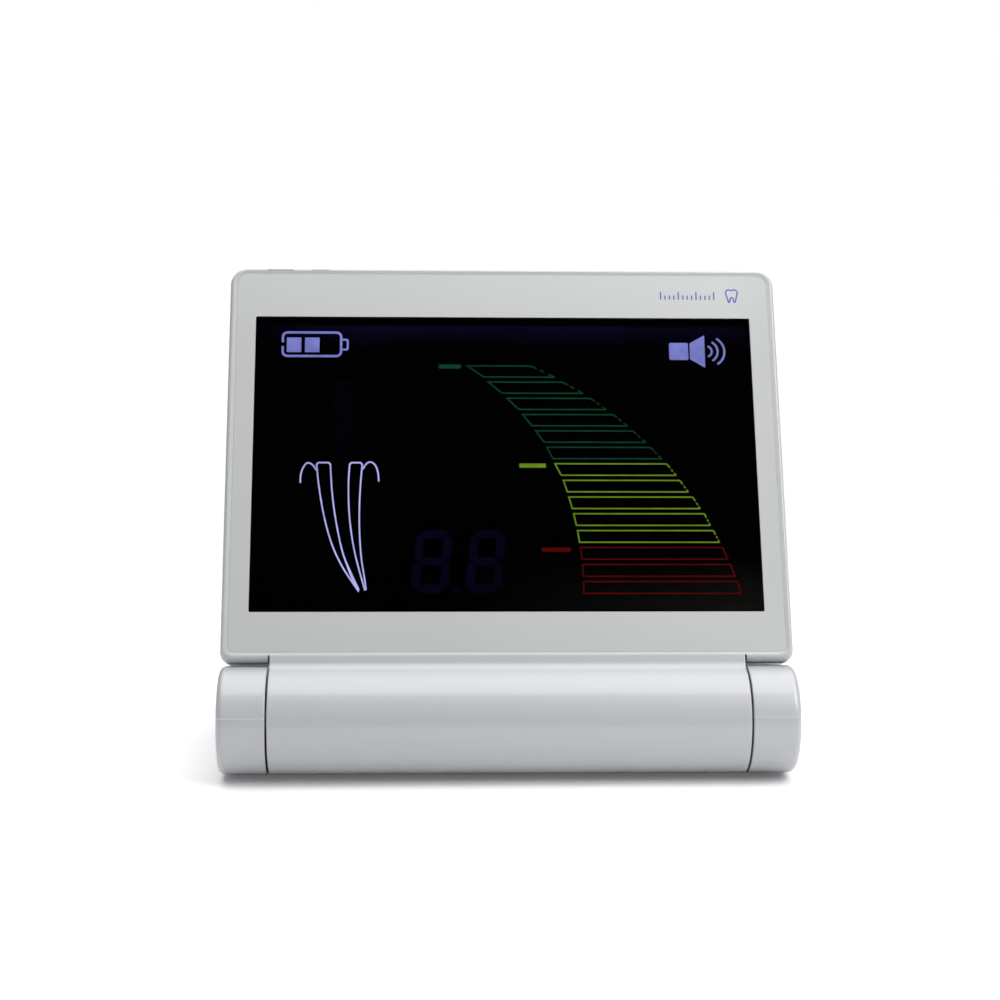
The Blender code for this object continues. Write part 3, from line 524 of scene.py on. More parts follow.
def apply(obj):
    bpy.context.view_layer.update()
    evaluated = obj.evaluated_get(bpy.context.evaluated_depsgraph_get())
    mesh = bpy.data.meshes.new_from_object(evaluated)
    obj.modifiers.clear()
    obj.data = mesh


def combine(obj, others, operation):
    """Boolean with each of the others, which are used up, then tidy the mesh once."""
    for other in others:
        boolean = obj.modifiers.new("b", "BOOLEAN")
        boolean.operation, boolean.solver, boolean.object = operation, "EXACT", other
        apply(obj)
        bpy.data.objects.remove(other)
    bm = bmesh.new()
    bm.from_mesh(obj.data)
    bmesh.ops.remove_doubles(bm, verts=bm.verts, dist=2e-7)
    bmesh.ops.dissolve_limit(bm, angle_limit=math.radians(0.2), verts=bm.verts, edges=bm.edges)
    bm.to_mesh(obj.data)
    bm.free()
    return obj


def cut(obj, *others):
    return combine(obj, others, "DIFFERENCE")


def join(obj, *others):
    return combine(obj, others, "UNION")


def keep(obj, other):
    return combine(obj, [other], "INTERSECT")


def copy_of(obj, name):
    twin = obj.copy()
    twin.data = obj.data.copy()
    twin.name = "w_" + name
    work.objects.link(twin)
    return twin


def piece(obj, name, material, body, node=None, smooth=30, weighted=True):
    """Turn a working object into a finished piece riding on its body, in place of a CAD node."""
    work.objects.unlink(obj)
    fine.objects.link(obj)
    obj.name = name
    obj.data.name = name
    obj.data.transform(PLACES[body])
    if not obj.data.materials:
        obj.data.materials.append(material)
    obj.data.shade_smooth()
    obj.data.set_sharp_from_angle(angle=math.radians(smooth))
    if weighted:
        modifier = obj.modifiers.new("weighted", "WEIGHTED_NORMAL")
        modifier.keep_sharp = True
        modifier.weight = 80
    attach(obj, body)
    if node:
        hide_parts(node)


def add_cup(shell, at, cup_radius, cup, head, shank):
    """Screw cup inside a shell, its stepped head hole and the hole for the shank."""
    join(shell, rod("cup", cup_radius, cup, 32, "Z", at))
    cut(shell, turned("head_hole", head, 48, "Z", at), rod("shank_hole", 1.1, shank, 24, "Z", at))


def add_boss(shell, at, radius, boss, hole):
    """Boss that takes a screw's thread."""
    join(shell, rod("boss", radius, boss, 24, "Z", at))
    cut(shell, rod("boss_hole", 0.95, hole, 16, "Z", at))


# ================================================================ display shells
# The rear is well rounded except along its lower edge, which stays close to the hinge barrels;
# the front hangs over them a little.
CHIN = 0.62  # how far the front hangs below PANEL_BOTTOM
CHIN_STATIONS = ((0.4, 0.0), (1.0, 0.2), (1.6, 0.55), (2.2, 0.85), (2.8, 1.0))  # level, share
BACK_ROUND = 1.5
LOW_BACK_SHARE, LOW_BACK_DROP = 0.2, 0.16
FRONT_INSET, FRONT_LOW_INSET, FRONT_DEPTH = 0.68, 1.0, 1.5
LOW_CORNER = 2.1
NECK_FRONT, NECK_BACK = 5.395, -1.8  # levels
NECK_TOP = 15.0
NECK_FILLET = 2.6
NECK_SOFT = 0.25


def panel_ring(inset, low_inset, level):
    low, top = LOW_CORNER - inset * 0.8, CORNER - inset
    return ring_at(rounded_rectangle(-HALF_WIDTH + inset, HALF_WIDTH - inset,
                                     PANEL_BOTTOM + low_inset, PANEL_TOP - inset,
                                     [low, low, top, top], 12), level)


def panel_solid():
    rings = []
    steps = 8
    for k, (fall, rise) in enumerate(quarter_turn(steps)):
        inset = BACK_ROUND * fall
        low_inset = inset * LOW_BACK_SHARE - LOW_BACK_DROP * (1 - k / steps)
        rings.append(panel_ring(inset, low_inset, BACK_LEVEL + BACK_ROUND * rise))
    rings += [panel_ring(0, -CHIN * share, level) for level, share in CHIN_STATIONS]
    for fall, rise in quarter_turn(steps):
        rings.append(panel_ring(FRONT_INSET * rise, FRONT_LOW_INSET * rise - CHIN,
                                RIM_LEVEL - FRONT_DEPTH * fall))
    return loft("panel", rings)


def neck_outline():
    """Section across x: flat front strip, fillet, round the barrel, flat back."""
    fillet_z = NECK_FRONT + NECK_FILLET
    fillet_y = math.sqrt((BARREL_RADIUS + NECK_FILLET) ** 2 - fillet_z ** 2)
    meeting = math.degrees(math.atan2(-fillet_z, -fillet_y))
    first = math.degrees(math.atan2(fillet_z, fillet_y))
    last = 360 - math.degrees(math.asin(-NECK_BACK / BARREL_RADIUS))
    return ([(NECK_TOP, NECK_FRONT)] + arc(fillet_y, fillet_z, NECK_FILLET, -90, meeting, 12)
            + arc(0, 0, BARREL_RADIUS, first, last, 140, True) + [(NECK_TOP, NECK_BACK)])


def neck_solid():
    outline = neck_outline()
    rings = []
    for inset, x in soft_levels(-BARREL_HALF, BARREL_HALF, NECK_SOFT, 4):
        points = inset_outline(outline, inset)
        # the two ends, inside the panel, only move in level
        points[0] = (NECK_TOP, NECK_FRONT - inset)
        points[-1] = (NECK_TOP, NECK_BACK + inset)
        rings.append(ring_at(points, x, "X"))
    return loft("neck", rings)


def lens_ring(grow, level):
    """Outline of the lens, grown or (below 0) shrunk."""
    low, top = LENS_LOW_CORNER + grow, LENS_TOP_CORNER + grow
    return ring_at(rounded_rectangle(-LENS_HALF - grow, LENS_HALF + grow, LENS_BOTTOM - grow,
                                     LENS_TOP + grow, [low, low, top, top], 12), level)


def display_solid():
    """Panel, neck and barrel in one, hollowed, before it is split into front and rear."""
    solid = panel_solid()
    # between the corners the rim gives way to the flat strip of the neck
    rim_half = BARREL_HALF - 0.1
    cut(solid, box("rim_gap", (-rim_half, rim_half), (9.0, 11.95), (4.0, 8.0)))
    join(solid, neck_solid())
    cut(solid,
        plate("panel_hollow", rounded_rectangle(-54.5, 54.5, 12.55, 92.1, 2.0, 3), -0.7, 3.2),
        rod("barrel_hollow", 9.0, (-44.8, 44.8), 48),
        box("neck_hollow", (-44.5, 44.5), (5.0, 13.5), (-0.7, 3.6)))
    # lens seat with a sloping inner lip: grow, level
    seat = ((0, 4.2), (0, 5.22), (0.6, 5.37), (0.78, RIM_LEVEL + 0.01), (0.78, 7.0))
    cut(solid, loft("seat", [lens_ring(grow, level) for grow, level in seat]),
        box("lcd_opening", (-51.5, 51.5), (19.4, 83.6), (2.0, 5.0)))
    for side in (-1, 1):
        cut(solid, box("slit", span(side, BARREL_HALF - 0.04, CAP_INNER), (9.0, 11.62), (-4, 8)))
    cut(solid, rod("hole_left", 2.75, (-48, -43), 32), rod("hole_right", 3.85, (43, 48), 32))
    # a fine slot in the rim in front of each key
    cut(solid, box("mark_long", (-48.4, -43.1), (92.95, 93.22), (4.3, 7.0)),
        box("mark_short", (-39.4, -35.6), (93.0, 93.2), (4.75, 7.0)))
    return solid


def build_display_shells():
    front = display_solid()
    rear = copy_of(front, "rear")
    keep(front, box("front_half", (-70, 70), (-20, 110), (SPLIT_LEVEL + SEAM, 20)))
    keep(rear, box("rear_half", (-70, 70), (-20, 110), (-20, SPLIT_LEVEL - SEAM)))
    for at in DISPLAY_SCREWS:
        add_cup(rear, at, cup_radius=2.75, cup=(-1.2, 0.5),
                head=[(2.35, -4.0), (2.35, -1.9), (2.0, -1.6), (2.0, -0.35)], shank=(-2.0, 2.0))
        add_boss(front, at, radius=2.0, boss=(SPLIT_LEVEL + SEAM, 3.6), hole=(0.0, 3.0))
    half_slot = 2.72
    for _, x in BUTTONS:
        slot = rounded_rectangle(x - half_slot, x + half_slot, 1.13, 3.48, 0.5, 6)
        cut(front, plate("button_slot", slot, 89.6, 95.0, "Y"))
    piece(front, "display_front_fine", shell_mat, "display", "display_front_frame")
    piece(rear, "display_rear_fine", shell_mat, "display", "display_rear_cover")


# ================================================================ lens and LCD sheet
def build_lens_border():
    """Printed border; the walls of its window are inner black."""
    gap = 0.015
    border = loft("border", [lens_ring(-gap, 4.3), lens_ring(-gap, 5.215),
                             lens_ring(-gap - 0.02, 5.235)])
    window = rounded_rectangle(-WINDOW_HALF, WINDOW_HALF, WINDOW_BOTTOM, WINDOW_TOP, 0.25, 4)
    cut(border, plate("window", window, 3.0, 7.0))
    border.data.materials.append(border_mat)
    border.data.materials.append(well_mat)
    reach = 0.05
    for polygon in border.data.polygons:
        x, y, _ = polygon.center / MM
        inside = (abs(x) < WINDOW_HALF + reach
                  and WINDOW_BOTTOM - reach < y < WINDOW_TOP + reach)
        polygon.material_index = 1 if inside and abs(polygon.normal.z) < 0.5 else 0
    piece(border, "lens_border", border_mat, "display", "screen_lens")


def build_lens_window():
    gap = 0.02
    outline = rounded_rectangle(-WINDOW_HALF + gap, WINDOW_HALF - gap, WINDOW_BOTTOM + gap,
                                WINDOW_TOP - gap, 0.24, 4)
    piece(plate("pane", outline, 5.02, 5.22), "lens_window", pane_mat, "display",
          weighted=False)


def build_lcd_sheet():
    wide = rounded_rectangle(-51.2, 51.2, 19.7, 83.3, 0.3, 3)
    narrow = rounded_rectangle(-50.5, 50.5, 20.4, 82.6, 0.3, 3)
    sheet = loft("sheet", [ring_at(wide, 2.2), ring_at(wide, 3.95), ring_at(narrow, 4.0),
                           ring_at(narrow, LCD_FACE)])
    piece(sheet, "lcd_sheet", lcd_mat, "display", "lcd_panel", weighted=False)


# ================================================================ LCD segments and border print
SEGMENT_LOW, SEGMENT_HIGH = 4.58, 4.62
EYE_X, EYE_HEIGHT, EYE_DISTANCE = -18.56, -85.3, 393.8  # viewpoint in the display's layout
DEEPER = (LENS_FACE - SEGMENT_HIGH) / EYE_DISTANCE
SHIFT, SHIFT_HALF = 0.48, 46.0  # leftward shift at the middle, fading to none at SHIFT_HALF


def seen_at(x, height):
    """Carry a point laid out on the lens's front face along its sight line to the segments."""
    x -= SHIFT * (1.0 - (x / SHIFT_HALF) ** 2)
    return x + (x - EYE_X) * DEEPER, height + (height - EYE_HEIGHT) * DEEPER


class Picture:
    """Collects thin raised shapes, all at one level, as one mesh."""

    def __init__(self, low=SEGMENT_LOW, high=SEGMENT_HIGH):
        self.bm, self.low, self.high = bmesh.new(), low, high

    def row(self, points, level):
        """Vertices at one level; only points behind the lens's face are carried back."""
        if self.high < LENS_FACE:
            points = [seen_at(x, y) for x, y in points]
        return [self.bm.verts.new(Vector((x, y, level)) * MM) for x, y in points]

    def shape(self, points):
        low, high = self.row(points, self.low), self.row(points, self.high)
        self.bm.faces.new(high)
        self.bm.faces.new(low[::-1])
        for i in range(len(points)):
            j = (i + 1) % len(points)
            self.bm.faces.new((low[i], low[j], high[j], high[i]))

    def stroke(self, path, width, closed=False):
        """Ribbon of even width along a path."""
        points = [Vector(point) for point in path]
        count = len(points)
        left, right = [], []
        for i, point in enumerate(points):
            before = points[i - 1] if closed or i > 0 else point
            after = points[(i + 1) % count] if closed or i < count - 1 else point
            if closed or 0 < i < count - 1:
                arriving = (point - before).normalized()
                along = (arriving + (after - point).normalized()).normalized()
                mitre = 1.0 / max(0.35, along.dot(arriving))
            else:
                along, mitre = (after - before).normalized(), 1.0
            offset = Vector((-along.y, along.x)) * width / 2 * mitre
            left.append(tuple(point + offset))
            right.append(tuple(point - offset))
        if closed:
            self.band(left, right)
        else:
            self.shape(left + right[::-1])

    def band(self, left, right):
        """Closed ribbon between two loops."""
        left_low, left_high, right_low, right_high = (
            self.row(points, level) for points in (left, right) for level in (self.low, self.high))
        for i in range(len(left)):
            j = (i + 1) % len(left)
            for first, second in ((right_high, left_high), (left_low, right_low),
                                  (left_high, left_low), (right_low, right_high)):
                self.bm.faces.new((first[i], first[j], second[j], second[i]))

    def done(self, name, material, slot="lcd_glass"):
        obj = link(mesh_of(self.bm, name), name)
        piece(obj, name, material, "display", weighted=False)


def smooth_path(points, per=6):
    """Catmull-Rom path through the points."""
    out = []
    points = [Vector(point) for point in points]
    last = len(points) - 1
    for i in range(last):
        before, start, end, after = (points[max(i - 1, 0)], points[i], points[i + 1],
                                     points[min(i + 2, last)])
        for k in range(per):
            t = k / per
            out.append(0.5 * (2 * start + (end - before) * t
                              + (2 * before - 5 * start + 4 * end - after) * t * t
                              + (3 * start - before - 3 * end + after) * t ** 3))
    out.append(points[-1])
    return [tuple(point) for point in out]


# depth scale: a column of bars whose ends follow two curves
BAR_PITCH, BAR_HEIGHT, BAR_TOP, BAR_STROKE = 3.507, 2.42, 72.04, 0.27
# x of the upper left, upper right, lower left and lower right end of each bar, from the top
BAR_ENDS = [
    (-7.29, 5.92, -3.85, 10.90), (-3.05, 12.36, -0.18, 16.58), (0.70, 17.92, 3.18, 21.16),
    (3.83, 22.41, 5.78, 25.31), (6.39, 26.21, 8.13, 28.87), (8.58, 29.60, 9.87, 31.92),
    (10.13, 32.72, 11.44, 34.64), (11.75, 35.20, 12.59, 36.93), (12.75, 37.62, 13.51, 39.11),
    (13.62, 39.78, 14.23, 40.97), (14.31, 41.40, 14.78, 42.63), (14.80, 43.06, 15.20, 44.08),
    (15.14, 44.51, 15.31, 45.35), (15.28, 45.68, 15.35, 46.41)]
# name, material, its bars, the pieces its slanted right ends are broken into,
# and left, right and height of the mark to the left of the scale
SCALES = (
    ("scale_dark_green", deep_mat, range(0, 6), ((0.0, 0.26), (0.38, 0.56), (0.74, 1.0)),
     (-12.9, -8.4, 71.85)),
    ("scale_light_green", lime_mat, range(6, 11), ((0.0, 0.34), (0.50, 0.66), (0.80, 1.0)),
     (3.2, 8.5, 50.6)),
    ("scale_red", red_mat, range(11, 14), ((0.0, 1.0),), (7.4, 13.1, 33.0)))
MARK_HALF = 0.43


def bar(picture, index, breaks):
    top = BAR_TOP - BAR_PITCH * index
    low = top - BAR_HEIGHT
    upper_left, upper_right, lower_left, lower_right = BAR_ENDS[index]
    start, end = (upper_right - 0.1, top), (lower_right - 0.25, low)
    picture.stroke([start, (upper_left + 0.2, top), (lower_left + 0.1, low), end], BAR_STROKE)
    for share, next_share in breaks:
        picture.stroke([tuple(Vector(start).lerp(Vector(end), share)),
                        tuple(Vector(start).lerp(Vector(end), next_share))], BAR_STROKE)


def build_scales():
    for name, material, bars, breaks, (left, right, height) in SCALES:
        picture = Picture()
        for index in bars:
            bar(picture, index, breaks)
        low, high = height - MARK_HALF, height + MARK_HALF
        picture.shape([(left, low), (right, low), (right, high), (left, high)])
        picture.done(name, material)


def build_icons():
    icons = Picture()
    # battery, top left: body open at the left end, nib and two cells
    body = rounded_rectangle(-45.03, -32.98, 74.06, 79.22, 1.0, 5)
    nib = [(-32.75, 77.65), (-31.85, 77.65), (-31.62, 77.4), (-31.62, 75.75), (-31.85, 75.5),
           (-32.75, 75.5)]
    icons.stroke([(-45.03, 76.2)] + body + [(-45.03, 77.05)], width=0.5)
    icons.stroke(nib, width=0.42)
    for x in (-44.2, -40.44):
        icons.shape(rounded_rectangle(x, x + 3.0, 74.9, 78.1, 0.12, 3))
    # loudspeaker with three waves, top right
    icons.shape(rounded_rectangle(34.0, 37.86, 73.5, 77.25, 0.35, 4))
    icons.shape([(38.15, 73.7), (41.17, 71.8), (41.22, 78.95), (38.2, 77.15)])
    for x, radius, half_angle in ((41.42, 1.2, 70), (41.42, 2.4, 58), (41.82, 3.36, 57)):
        icons.stroke(arc(x, 75.4, radius, -half_angle, half_angle, 12), width=0.42)
    icons.done("icons_violet", violet_mat)


# tooth with its open root: x, height
CROWN_LEFT = [(-40.9, 46.9), (-40.75, 49.0), (-40.0, 50.7), (-39.2, 51.1), (-38.3, 50.5),
              (-37.75, 49.6)]
LEFT_ROOT_DOWN = [(-37.65, 50.9), (-37.1, 46.1), (-36.0, 40.0), (-34.4, 34.3), (-32.2, 29.5),
                  (-29.0, 24.6)]
LEFT_ROOT_UP = [(-28.9, 24.9), (-30.4, 28.1), (-32.15, 32.4), (-33.6, 39.0), (-34.45, 45.1),
                (-34.85, 50.9)]
LEFT_ROOT_TOP = [(-37.65, 50.75), (-37.3, 51.15), (-35.2, 51.15), (-34.85, 50.75)]
RIGHT_ROOT_DOWN = [(-30.95, 50.9), (-31.15, 46.1), (-30.85, 39.5), (-29.75, 32.4), (-27.7, 24.8)]
RIGHT_ROOT_UP = [(-27.45, 24.9), (-27.75, 27.1), (-28.5, 31.9), (-28.9, 38.5), (-28.8, 45.1),
                 (-28.4, 50.9)]
RIGHT_ROOT_TOP = [(-30.95, 50.75), (-30.6, 51.15), (-28.75, 51.15), (-28.4, 50.75)]
CROWN_RIGHT = [(-28.25, 49.8), (-27.6, 50.9), (-26.75, 51.3), (-25.85, 50.7), (-25.25, 49.2),
               (-25.05, 47.2)]


def build_tooth():
    tooth = Picture()
    for path in (smooth_path(CROWN_LEFT),
                 smooth_path(LEFT_ROOT_DOWN) + smooth_path(LEFT_ROOT_UP), LEFT_ROOT_TOP,
                 smooth_path(RIGHT_ROOT_DOWN) + smooth_path(RIGHT_ROOT_UP), RIGHT_ROOT_TOP,
                 smooth_path(CROWN_RIGHT)):
        tooth.stroke(path, width=0.31)
    tooth.done("tooth_outline", tooth_mat)


NUMERAL_LOW, NUMERAL_HIGH = 24.1, 37.1
NUMERAL_STROKE, NUMERAL_GAP, NUMERAL_SLANT = 1.75, 0.1, 0.09


def numeral(picture, left, right):
    """Seven slanted segments with mitred ends."""
    middle = (NUMERAL_LOW + NUMERAL_HIGH) / 2
    half, gap = NUMERAL_STROKE / 2, NUMERAL_GAP
    low, high = NUMERAL_LOW + half, NUMERAL_HIGH - half

    def lean(points):
        picture.shape([(x + (y - middle) * NUMERAL_SLANT, y) for x, y in points])

    start, end = left + gap, right - gap
    inner_start, inner_end = start + NUMERAL_STROKE, end - NUMERAL_STROKE
    for y in (high, middle, low):
        lean([(start + half, y), (inner_start, y + half), (inner_end, y + half), (end - half, y),
              (inner_end, y - half), (inner_start, y - half)])
    for x in (left + half, right - half):
        for bottom, top in ((low + gap, middle - gap), (middle + gap, high - gap)):
            lean([(x, bottom), (x + half, bottom + half), (x + half, top - half), (x, top),
                  (x - half, top - half), (x - half, bottom + half)])


def build_unlit():
    """Unlit segments: two numerals with a point, and a file with its ribbed handle."""
    ghost, faint = Picture(), Picture()
    numeral(ghost, -18.1, -10.7)
    numeral(ghost, -7.3, -0.2)
    ghost.shape(rounded_rectangle(-10.4, -9.0, 24.1, 25.5, 0.1, 3))
    for k in range(9):
        low = 57.2 + 1.33 * k
        inset = 0.5 if k in (0, 8) else 0.0
        faint.shape(rounded_rectangle(-35.2 + inset, -30.0 - inset, low, low + 0.95, 0.25, 3))
    faint.shape([(-33.6, 56.9), (-31.8, 56.9), (-32.1, 54.6), (-32.4, 52.2), (-33.0, 52.2),
                 (-33.3, 54.6)])
    ghost.done("segments_unlit", ghost_mat)
    faint.done("file_unlit", faint_mat)


# right half of the printed tooth sign, from the top to the fork between its roots
SIGN_HALF = [(0.0, 1.05), (0.42, 1.22), (0.85, 1.1), (1.08, 0.6), (0.95, 0.0), (0.78, -0.6),
             (0.62, -1.2), (0.42, -1.22), (0.25, -0.55), (0.0, -0.3)]
SIGN_X, SIGN_Y, SIGN_SCALE = 47.2, 87.75, 1.12


def build_border_print():
    """Upper right of the border: a fine length scale leading to a tooth sign."""
    mark = Picture(low=5.232, high=5.246)
    low = 86.85
    for k in range(13):
        high = low + (1.7 if k % 4 == 0 else 0.95)
        left, right = 32.3 + 0.92 * k, 32.6 + 0.92 * k
        mark.shape([(left, low), (right, low), (right, high), (left, high)])
    sign = smooth_path(SIGN_HALF, per=4)
    sign += [(-x, y) for x, y in sign[-2:0:-1]]
    mark.stroke([(SIGN_X + SIGN_SCALE * x, SIGN_Y + SIGN_SCALE * y) for x, y in sign], width=0.31,
                closed=True)
    mark.done("border_scale_print", print_mat, "printed_lens")


# ================================================================ keys and screws
def build_keys():
    for node, x in BUTTONS:
        outline = rounded_rectangle(x - 2.5, x + 2.5, 1.35, 3.25, 0.45, 6)
        cap = plate("key", outline, 91.2, 93.95, "Y", soft=0.28)
        join(cap, box("flange", (x - 3.1, x + 3.1), (90.9, 91.75), (1.2, 3.0)))
        piece(cap, node + "_fine", key_mat, node, node)


def screw(node, at, head_z, tip_z, radius, body):
    """Domed cross-head screw pointing up z, with head radius and a ringed shank."""
    shank = 0.8
    # radius, z
    profile = [(0.0001, head_z + 0.02), (radius * 0.45, head_z), (radius * 0.8, head_z + 0.08),
               (radius * 0.95, head_z + 0.25), (radius, head_z + 0.55), (radius, head_z + 1.05),
               (radius - 0.05, head_z + 1.1), (shank, head_z + 1.1)]
    z = head_z + 1.2
    while z < tip_z - 0.5:
        profile += [(shank, z), (shank * 0.78, z + 0.16), (shank * 0.78, z + 0.2),
                    (shank, z + 0.36)]
        z += 0.42
    profile += [(shank * 0.5, tip_z)]
    obj = turned("screw", profile, 40, "Z", at)
    for turn in (0, 90):
        # half length, half width, level; the second slot is a hair deeper
        stations = ((radius * 0.62, 0.2, -1.0), (radius * 0.5, 0.17, 0.5 + turn * 0.0003))
        blade = loft("blade", [ring_at([(-x, -y), (x, -y), (x, y), (-x, y)], level)
                               for x, y, level in stations])
        blade.data.transform(Matrix.Translation(Vector((*at, head_z)) * MM)
                             @ Matrix.Rotation(math.radians(turn + 20), 4, "Z"))
        cut(obj, blade)
    piece(obj, node + "_fine", screw_mat, body, node, smooth=40)


def build_screws():
    for k, at in enumerate(DISPLAY_SCREWS, 1):
        screw("cover_screw_%d" % k, at, head_z=-1.6, tip_z=2.8, radius=1.75, body="display")
    for k, at in enumerate(BASE_SCREWS, 1):
        screw("base_screw_%d" % k, at, head_z=-10.2, tip_z=-4.6, radius=1.85, body="base")


# ================================================================ base shells
INNER_SOFT, OUTER_SOFT = 0.28, 1.4  # rim roundings of the end barrels
# x, y plan of the top shell, and the slightly larger one cleared for it in the bottom shell
TOP_PLAN = [(-46.5, 5), (46.5, 5), (46.5, 11.05), (60, 10.9), (60, 100), (-60, 100), (-60, 10.9),
            (-46.5, 11.05)]
CLEAR_PLAN = [(-46.55, 4), (46.55, 4), (46.55, 10.97), (61, 10.82), (61, 101), (-61, 101),
              (-61, 10.82), (-46.55, 10.97)]


def end_barrel(side):
    inner, outer = BARREL_RADIUS - INNER_SOFT, BARREL_RADIUS - OUTER_SOFT
    profile = [(0.0001, CAP_INNER), (inner, CAP_INNER)]
    for angle in map(math.radians, (22, 45, 67, 90)):
        profile.append((inner + INNER_SOFT * math.sin(angle),
                        CAP_INNER + INNER_SOFT - INNER_SOFT * math.cos(angle)))
    for angle in map(math.radians, range(0, 91, 9)):
        profile.append((outer + OUTER_SOFT * math.cos(angle),
                        HALF_WIDTH - OUTER_SOFT + OUTER_SOFT * math.sin(angle)))
    profile.append((0.0001, HALF_WIDTH))
    barrel = turned("end", profile, 160)
    if side < 0:
        bm = bmesh.new()
        bm.from_mesh(barrel.data)
        bmesh.ops.transform(bm, matrix=Matrix.Scale(-1, 4, (1, 0, 0)), verts=bm.verts)
        bmesh.ops.reverse_faces(bm, faces=bm.faces)
        bm.to_mesh(barrel.data)
        bm.free()
    return barrel


def socket_outline(half_width, half_height, corner, segments):
    """y, z outline round the middle of the charging socket."""
    y, z = SOCKET
    return rounded_rectangle(y - half_width, y + half_width, z - half_height, z + half_height,
                             corner, segments)


def base_solid():
    """Whole base with its end barrels, hollowed, before it is split."""
    plan = rounded_rectangle(-HALF_WIDTH, HALF_WIDTH, 1.0, BASE_REAR, [1.12, 1.12, CORNER, CORNER],
                             12)
    solid = plate("base", plan, BASE_BOTTOM, BASE_TOP, soft=1.1, steps=8)
    cut(solid, box("clear_front", (-CAP_INNER, CAP_INNER), (-20, 7.0), (-20, 20)),
        rod("scoop", 10.95, (-CAP_INNER, CAP_INNER), 160))
    join(solid, end_barrel(1), end_barrel(-1))
    cut(solid, plate("base_hollow", rounded_rectangle(-54.4, 54.4, 12.6, 92.1, 2.0, 4), -9.1, -3.6))
    for side, bore in ((-1, 2.5), (1, 3.6)):
        cut(solid, rod("cap_hollow", 9.1, span(side, 48.0, 54.6), 48))
        cut(solid, box("cap_passage", span(side, 48.2, 54.35), (5.0, 14.0), (-8.4, -3.8)))
        cut(solid, rod("cap_bore", bore + 0.6, span(side, 45.0, 49.0), 40))
    cut(solid, turned("jack_hole", [(3.15, -58), (3.15, -56.0), (2.85, -55.7), (2.85, -53)], 64,
                      at=SOCKET))
    # grow, x of the hole for the charging socket
    stations = ((0, 53), (0, 55.7), (0.3, 56.0), (0.3, 58))
    cut(solid, loft("usb_hole", [
        ring_at(socket_outline(4.65 + grow, 1.8 + grow, 1.79 + grow, 10), x, "X")
        for grow, x in stations]))
    return solid


def drill_bottom(bottom):
    """Foot seats, leaf posts, door bay and sound holes of the bottom shell."""
    for at in FEET:
        cut(bottom, turned("foot_seat", [(3.45, -12), (3.45, -10.5), (3.3, -10.35), (3.3, -10.0)],
                           64, "Z", at))
    for x in (-52.4, 52.4):
        join(bottom, rod("leaf_post", 1.9, (-9.6, -7.85), 24, "Z", (x, 0.0)))
        cut(bottom, rod("post_hole", 0.8, (-9.2, -6), 16, "Z", (x, 0.0)))
    cut(bottom, box("bay", (-19.0, 19.0), (DOOR_FRONT, 100), (-14, -8.5)),
        box("bay_rebate", (-20.2, 20.2), (DOOR_FRONT - 1.2, 100), (-9.8, -8.5)))
    # six holes in a circle and one in the middle
    circle = 2.6
    angles = [math.radians(60 * k) for k in range(6)]
    offsets = [(circle * math.cos(a), circle * math.sin(a)) for a in angles] + [(0, 0)]
    for x, y in offsets:
        cut(bottom, turned("sound_hole", [(0.75, -12), (0.75, -10.5), (0.6, -10.3), (0.6, -8)], 24,
                           "Z", (BUZZER[0] + x, BUZZER[1] + y)))


def build_base_shells():
    bottom = base_solid()
    top = copy_of(bottom, "top")
    for side, name in ((-1, "hinge_cover_left"), (1, "hinge_cover_right")):
        cover = keep(copy_of(bottom, name),
                     box("cover_box", span(side, 40.0, 60.0), (-20, 20), (COVER_Z, 20)))
        piece(cover, name + "_fine", seam_highlight_mat, "base", name)
    keep(top, plate("top_box", TOP_PLAN, BASE_SPLIT, 0.0))
    cut(bottom, box("above", (-70, 70), (-30, 110), (COVER_Z - 0.04, 30)),
        plate("top_clear", CLEAR_PLAN, BASE_SPLIT - 0.09, 1.0))
    for at in BASE_SCREWS:
        add_boss(top, at, radius=2.3, boss=(-7.9, -3.3), hole=(-9.0, -4.2))
        add_cup(bottom, at, cup_radius=3.0, cup=(-9.4, -8.2),
                head=[(2.45, -12), (2.45, -10.5), (2.1, -10.2), (2.1, -9.0)], shank=(-10, -7))
    drill_bottom(bottom)
    piece(bottom, "base_bottom_fine", seam_highlight_mat, "base", "base_bottom_shell")
    piece(top, "base_top_fine", shell_mat, "base", "base_top_shell")


def build_battery_door():
    """Door flanged along both sides, rounded up at its rear end, with four grip grooves."""
    half_width, half_flange = 18.75, 19.95
    round_radius = 1.0
    # y, rise of the outer face
    stations = [(DOOR_FRONT + 0.25, 0.12), (DOOR_FRONT + 0.37, 0.0)]
    for angle in map(math.radians, (0, 20, 40, 60, 75)):
        stations.append((BASE_REAR - round_radius + round_radius * math.sin(angle),
                         round_radius - round_radius * math.cos(angle)))
    rings = []
    for y, rise in stations:
        section = [(-half_width, BASE_BOTTOM + rise), (half_width, BASE_BOTTOM + rise),
                   (half_width, -9.62), (half_flange, -9.54), (half_flange, -8.8),
                   (-half_flange, -8.8), (-half_flange, -9.54), (-half_width, -9.62)]
        rings.append(ring_at(section, y, "Y"))
    door = loft("door", rings)
    groove_z = BASE_BOTTOM + 0.35
    for k in range(4):
        y = 44.0 + 2.2 * k
        section = [(y - 0.1, -12), (y + 1.0, -12), (y + 0.7, groove_z), (y + 0.2, groove_z)]
        cut(door, plate("grip", section, -6.5, 6.5, "X"))
    piece(door, "battery_door_fine", shell_mat, "battery_door", "battery_door")


